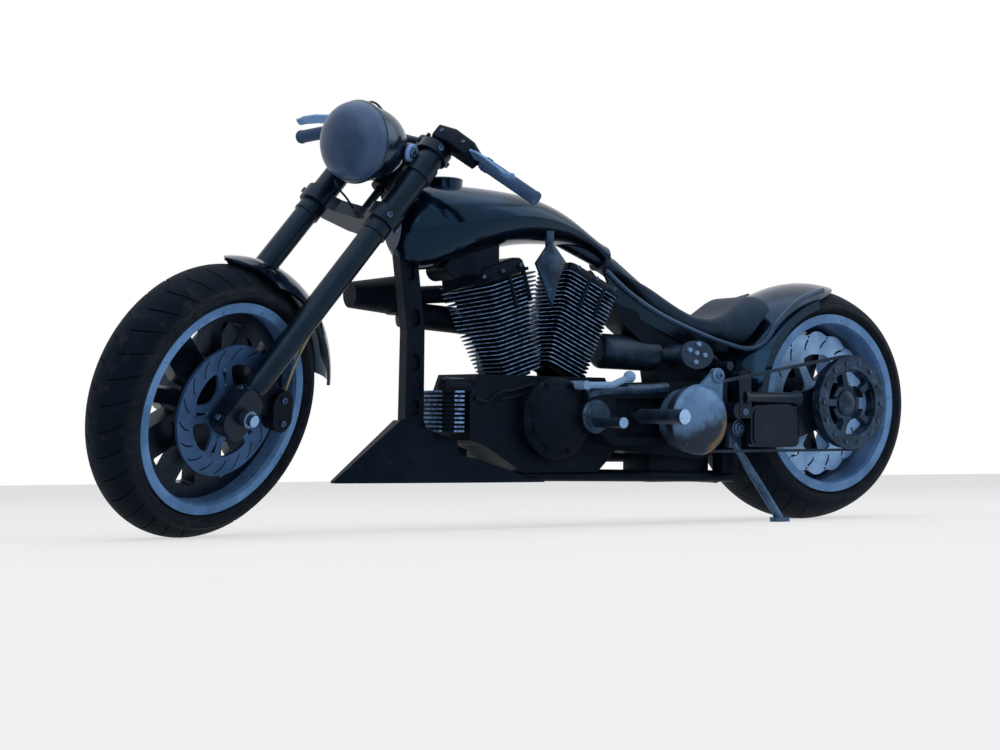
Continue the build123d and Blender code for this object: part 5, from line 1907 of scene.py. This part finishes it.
@dataclass
class DriveSide(Part):
    """Clutch cover, belt, swingarm, pegs and foot controls."""

    x: float = CLUTCH_X
    z: float = CLUTCH_Z

    def build(self, model: Model) -> None:
        """Dress the drive side and add its covers and screws.

        Args:
            model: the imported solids.
        """
        model.paint(self.paints.engine, "primary_plate")
        model.paint(self.paints.dome, "clutch_cover")
        model.paint(self.paints.belt, "drive_belt")
        model.paint(self.paints.fork, "left_swingarm", "right_swingarm",
                    "swingarm_pivot", "rear_axle")
        model.paint(self.paints.satin, "rear_caliper", "stand_bracket")
        model.paint(self.paints.pegs, "left_footpeg", "right_footpeg")
        model.paint(self.paints.controls, "foot_controls")
        self.clutch()
        self.arms()

    def clutch(self) -> None:
        """Smooth domed cover with its ear, drum and screws."""
        form = Form("clutch_dome")
        outline = [(11.8, 21.1), (11.8, 30.6), (13.6, 30.8), (13.8, 31.1), (13.8, 32.0),
                   (13.4, 32.6)]
        for k in range(1, 9):
            angle = math.radians(90 * k / 9)
            outline.append((13.2 * math.cos(angle) + 0.1, 32.6 + 3.6 * math.sin(angle)))
        form.lathe(outline, (self.x, 0, self.z), (0, 1, 0), 80)
        ear = [(-11, 8), (-11.3, 18), (-5.5, 18), (2, 12)]
        rings = [[(self.x + a, y, self.z + b) for a, b in ear] for y in (30.8, 32.7)]
        form.skin(rings)
        boss_x, boss_z = self.x - 8.5, self.z + 17.3
        form.lathe([(3.0, 30.8), (3.0, 33.2), (2.6, 33.7), (1.6, 33.8)], (boss_x, 0, boss_z),
                   (0, 1, 0))
        piece = self.put(form, self.paints.dome, Slot.WORN)
        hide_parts("clutch_cover")
        screws = Form("clutch_screws")
        screws.screw((boss_x, 33.7, boss_z), (0, 1, 0), 1.5, 0.8)
        screws.screws(5, 11.9, 33.4, (0.8, 0.5), start=20.0, centre=(self.x, self.z))
        self.put(screws, self.paints.screws, Slot.STEEL)

    def arms(self) -> None:
        """Left swingarm with its tube, box and carrier, and the screws of both."""
        arm = Form("left_swingarm_plate")
        arm.lathe([(3.2, 0), (3.2, 1.5), (2.5, 3.0), (2.5, 27.0), (3.2, 29.5), (3.4, 31.0)],
                  (55.5, 23.5, 1.4), (-1, 0, 0.0), 32)
        arm.sheet(rounded([(52.0, -1.6), (24.6, -1.6), (24.6, -18.6), (52.0, -18.6)], 4.0, 8),
                  [], 22.2, 25.0)
        arm.sheet(rounded([(50.6, -3.2), (26.2, -3.2), (26.2, -17.2), (50.6, -17.2)], 3.0, 8),
                  [], 24.8, 25.5)
        arm.sheet(rounded([(59.0, 11.5), (52.4, 13.0), (51.6, -7.0), (58.0, -7.0)], 1.5, 5),
                  [], 20.6, 25.2)
        arm.sheet(rounded([(26.0, 3.4), (8.0, 8.5), (-6.0, 8.0), (-10.0, 0.0), (-6.0, -8.0),
                           (8.0, -9.5), (26.0, -15.0)], 3.0, 5), [ring_of(5.4, 32)], 22.0, 25.0)
        piece = self.put(arm, self.paints.fork, Slot.SATIN)
        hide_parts("left_swingarm")
        screws = Form("swingarm_screws")
        for side in Side:
            out = (0, side.value, 0)
            screws.screw((55.2, side.value * 25.1, -4.4), out, 1.5, 0.6)
            for x, z in ((14, 4.5), (14, -7.0)):
                screws.screw((x, side.value * 24.9, z), out, 0.9, 0.6)
        self.put(screws, self.paints.screws, Slot.STEEL)


@dataclass
class Stand(Part):
    """Side stand, with the outer face of its eye at the pivot."""

    body: ClassVar[Body] = Body.STAND
    pivot: tuple[float, float, float] = (54.4, 20.6, -11.0)

    def build(self, model: Model) -> None:
        """Dress the stand and add its pivot screw.

        Args:
            model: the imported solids.
        """
        model.paint(self.paints.stand, "side_stand")
        form = Form("stand_screw")
        form.lathe([(2.6, 0), (2.6, 0.5), (2.2, 0.7)], self.pivot, (0, 1, 0))
        form.screw(Vector(self.pivot) + Vector((0, 0.6, 0)), (0, 1, 0), 1.7, 0.9)
        self.put(form, self.paints.screws, Slot.STEEL)


@dataclass
class Studio:
    """Pale floor, white surround, soft lamps and the camera."""

    machine: Matrix
    lens: float = 60.54
    eye: tuple[float, float, float] = (525.4, 522.8, -7.3)
    right: tuple[float, float, float] = (-0.8183, 0.5746, 0.0126)
    forward: tuple[float, float, float] = (-0.5743, -0.8183, 0.0243)
    surround: float = 0.42
    glow: float = 0.6
    floor_reach: float = 12.0
    floor_tone: Colour = (0.82, 0.84, 0.86)

    def build(self) -> None:
        """Make the floor, the surround, the lamps and the camera."""
        self.camera()
        self.floor()
        self.world()
        self.lamp("overhead_lamp", (0.1, 0.1, 1.1), 1.3, 4.2)
        self.lamp("front_lamp", (0.9, 0.7, 0.75), 0.8, 2.6)
        self.lamp("back_lamp", (-0.8, 0.5, 0.6), 0.7, 1.8)

    def camera(self) -> None:
        """Camera where the machine is seen from in the photograph."""
        data = bpy.data.cameras.new("camera")
        data.lens = self.lens
        data.sensor_width = 36.0
        data.clip_start = 0.01
        piece = bpy.data.objects.new("camera", data)
        bpy.context.scene.collection.objects.link(piece)
        turn = self.machine.to_3x3()
        right = (turn @ Vector(self.right)).normalized()
        back = -(turn @ Vector(self.forward)).normalized()
        up = back.cross(right)
        place = self.machine @ Vector(self.eye)
        rows = [(right[k], up[k], back[k], place[k]) for k in range(3)]
        piece.matrix_world = Matrix((*rows, (0, 0, 0, 1)))
        bpy.context.scene.camera = piece

    def floor(self) -> None:
        """Wide pale floor that keeps the model's shadow."""
        data = bpy.data.meshes.new("studio_floor")
        reach = self.floor_reach
        corners = [(-reach, -reach, 0), (reach, -reach, 0), (reach, reach, 0), (-reach, reach, 0)]
        data.from_pydata(corners, [], [(0, 1, 2, 3)])
        piece = bpy.data.objects.new("studio_floor", data)
        bpy.context.scene.collection.objects.link(piece)
        shader = Shader("studio_floor")
        grain = shader.noise(30.0, 6.0)
        tone = shader.mix(grain.between(0.3, 0.7), self.floor_tone,
                          tuple(c * 0.97 for c in self.floor_tone))
        lit = shader.node("ShaderNodeBsdfDiffuse", {}, {"Color": tone}, "BSDF")
        white = shader.node("ShaderNodeEmission", {},
                            {"Color": (1.0, 1.0, 1.0, 1.0), "Strength": 1.0}, "Emission")
        path = shader.tree.nodes.new("ShaderNodeLightPath")
        seen = Value(shader, path.outputs["Is Camera Ray"])
        for name in ("Is Glossy Ray", "Is Transmission Ray"):
            seen = seen.highest(Value(shader, path.outputs[name]))
        shader.node_output(shader.node("ShaderNodeMixShader", {},
                                       {0: seen * self.glow, 1: lit, 2: white}, "Shader"))
        data.materials.append(shader.material)

    def world(self) -> None:
        """White to the camera and in reflections, softer as light."""
        world = bpy.data.worlds.new("studio_world")
        bpy.context.scene.world = world
        world.use_nodes = True
        tree = world.node_tree
        tree.nodes.clear()
        path = tree.nodes.new("ShaderNodeLightPath")
        background = tree.nodes.new("ShaderNodeBackground")
        output = tree.nodes.new("ShaderNodeOutputWorld")
        seen = path.outputs["Is Camera Ray"]
        for name in ("Is Glossy Ray", "Is Transmission Ray"):
            joined = tree.nodes.new("ShaderNodeMath")
            joined.operation = "MAXIMUM"
            tree.links.new(seen, joined.inputs[0])
            tree.links.new(path.outputs[name], joined.inputs[1])
            seen = joined.outputs[0]
        strength = tree.nodes.new("ShaderNodeMapRange")
        strength.inputs["To Min"].default_value = self.surround
        tree.links.new(seen, strength.inputs["Value"])
        tree.links.new(strength.outputs[0], background.inputs["Strength"])
        tree.links.new(background.outputs[0], output.inputs["Surface"])
        background.inputs["Color"].default_value = (1.0, 1.0, 1.0, 1.0)

    def lamp(self, name: str, place: Point, size: float, power: float) -> None:
        """Soft square lamp aimed at the model's middle.

        Args:
            name: its name.
            place: where it hangs, in metres.
            size: its side, in metres.
            power: its power, in watts.
        """
        data = bpy.data.lights.new(name, "AREA")
        data.size = size
        data.energy = power
        piece = bpy.data.objects.new(name, data)
        bpy.context.scene.collection.objects.link(piece)
        piece.location = place
        aim = Vector((0.0, 0.0, 0.06)) - Vector(place)
        piece.rotation_euler = aim.to_track_quat("-Z", "Y").to_euler()


def assembly(places: Places, paints: Paints) -> list[Part]:
    """Every sub-assembly, in the order in which they are drawn.

    Args:
        places: the frames of the bodies.
        paints: the finishes.

    Returns:
        The sub-assemblies, not yet drawn.
    """
    machine = places.machine
    return [
        FrontWheel(places.front_wheel, paints, "front", radius=47.5, half_width=11.6,
                   crown=11.8, lip=36.8, rim_half=9.8, pitches=34, sweep=7.0),
        RearWheel(machine, paints, "rear", radius=50.0, half_width=20.8,
                  crown=33.0, lip=37.6, rim_half=19.4, pitches=30, sweep=10.0),
        FrontEnd(places.fork, paints, places.lamp),
        Bodywork(machine, paints),
        Engine(machine, paints),
        Cylinder(machine, paints, "front_cylinder", foot=(153.6, 9.0), lean=18, near=(10.4, 6.5),
                 far=(9.2, 16.0), back=(-9.5, -16.0), clip=145.8,
                 cover=(-13.6, 11.5, 36.9, 42.6), studs=(-9.5, -2.5)),
        Cylinder(machine, paints, "rear_cylinder", foot=(134.2, 10.5), lean=-23, near=(9.0, 15.0),
                 far=(9.0, 15.0), back=(-10.4, -10.8), clip=144.8,
                 cover=(-12.6, 14.6, 36.2, 40.6), studs=(-3.0, 5.0), top=35.2),
        DriveSide(machine, paints),
        Stand(machine, paints)]


def main() -> None:
    """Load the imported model, dress it, and light it."""
    logging.basicConfig(level=logging.INFO, format="%(message)s")
    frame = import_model()
    bpy.context.scene.view_settings.view_transform = "Standard"
    places = Places.read(frame["joints"])
    Studio(places.machine).build()
    model, paints = Model(frame["nodes"]), Paints(places)
    for part in assembly(places, paints):
        part.build(model)
        LOG.info("%s is built", type(part).__name__)
    if model.left:
        LOG.warning("no finish yet: %s", sorted(model.left))


if __name__ == "__main__":
    main()
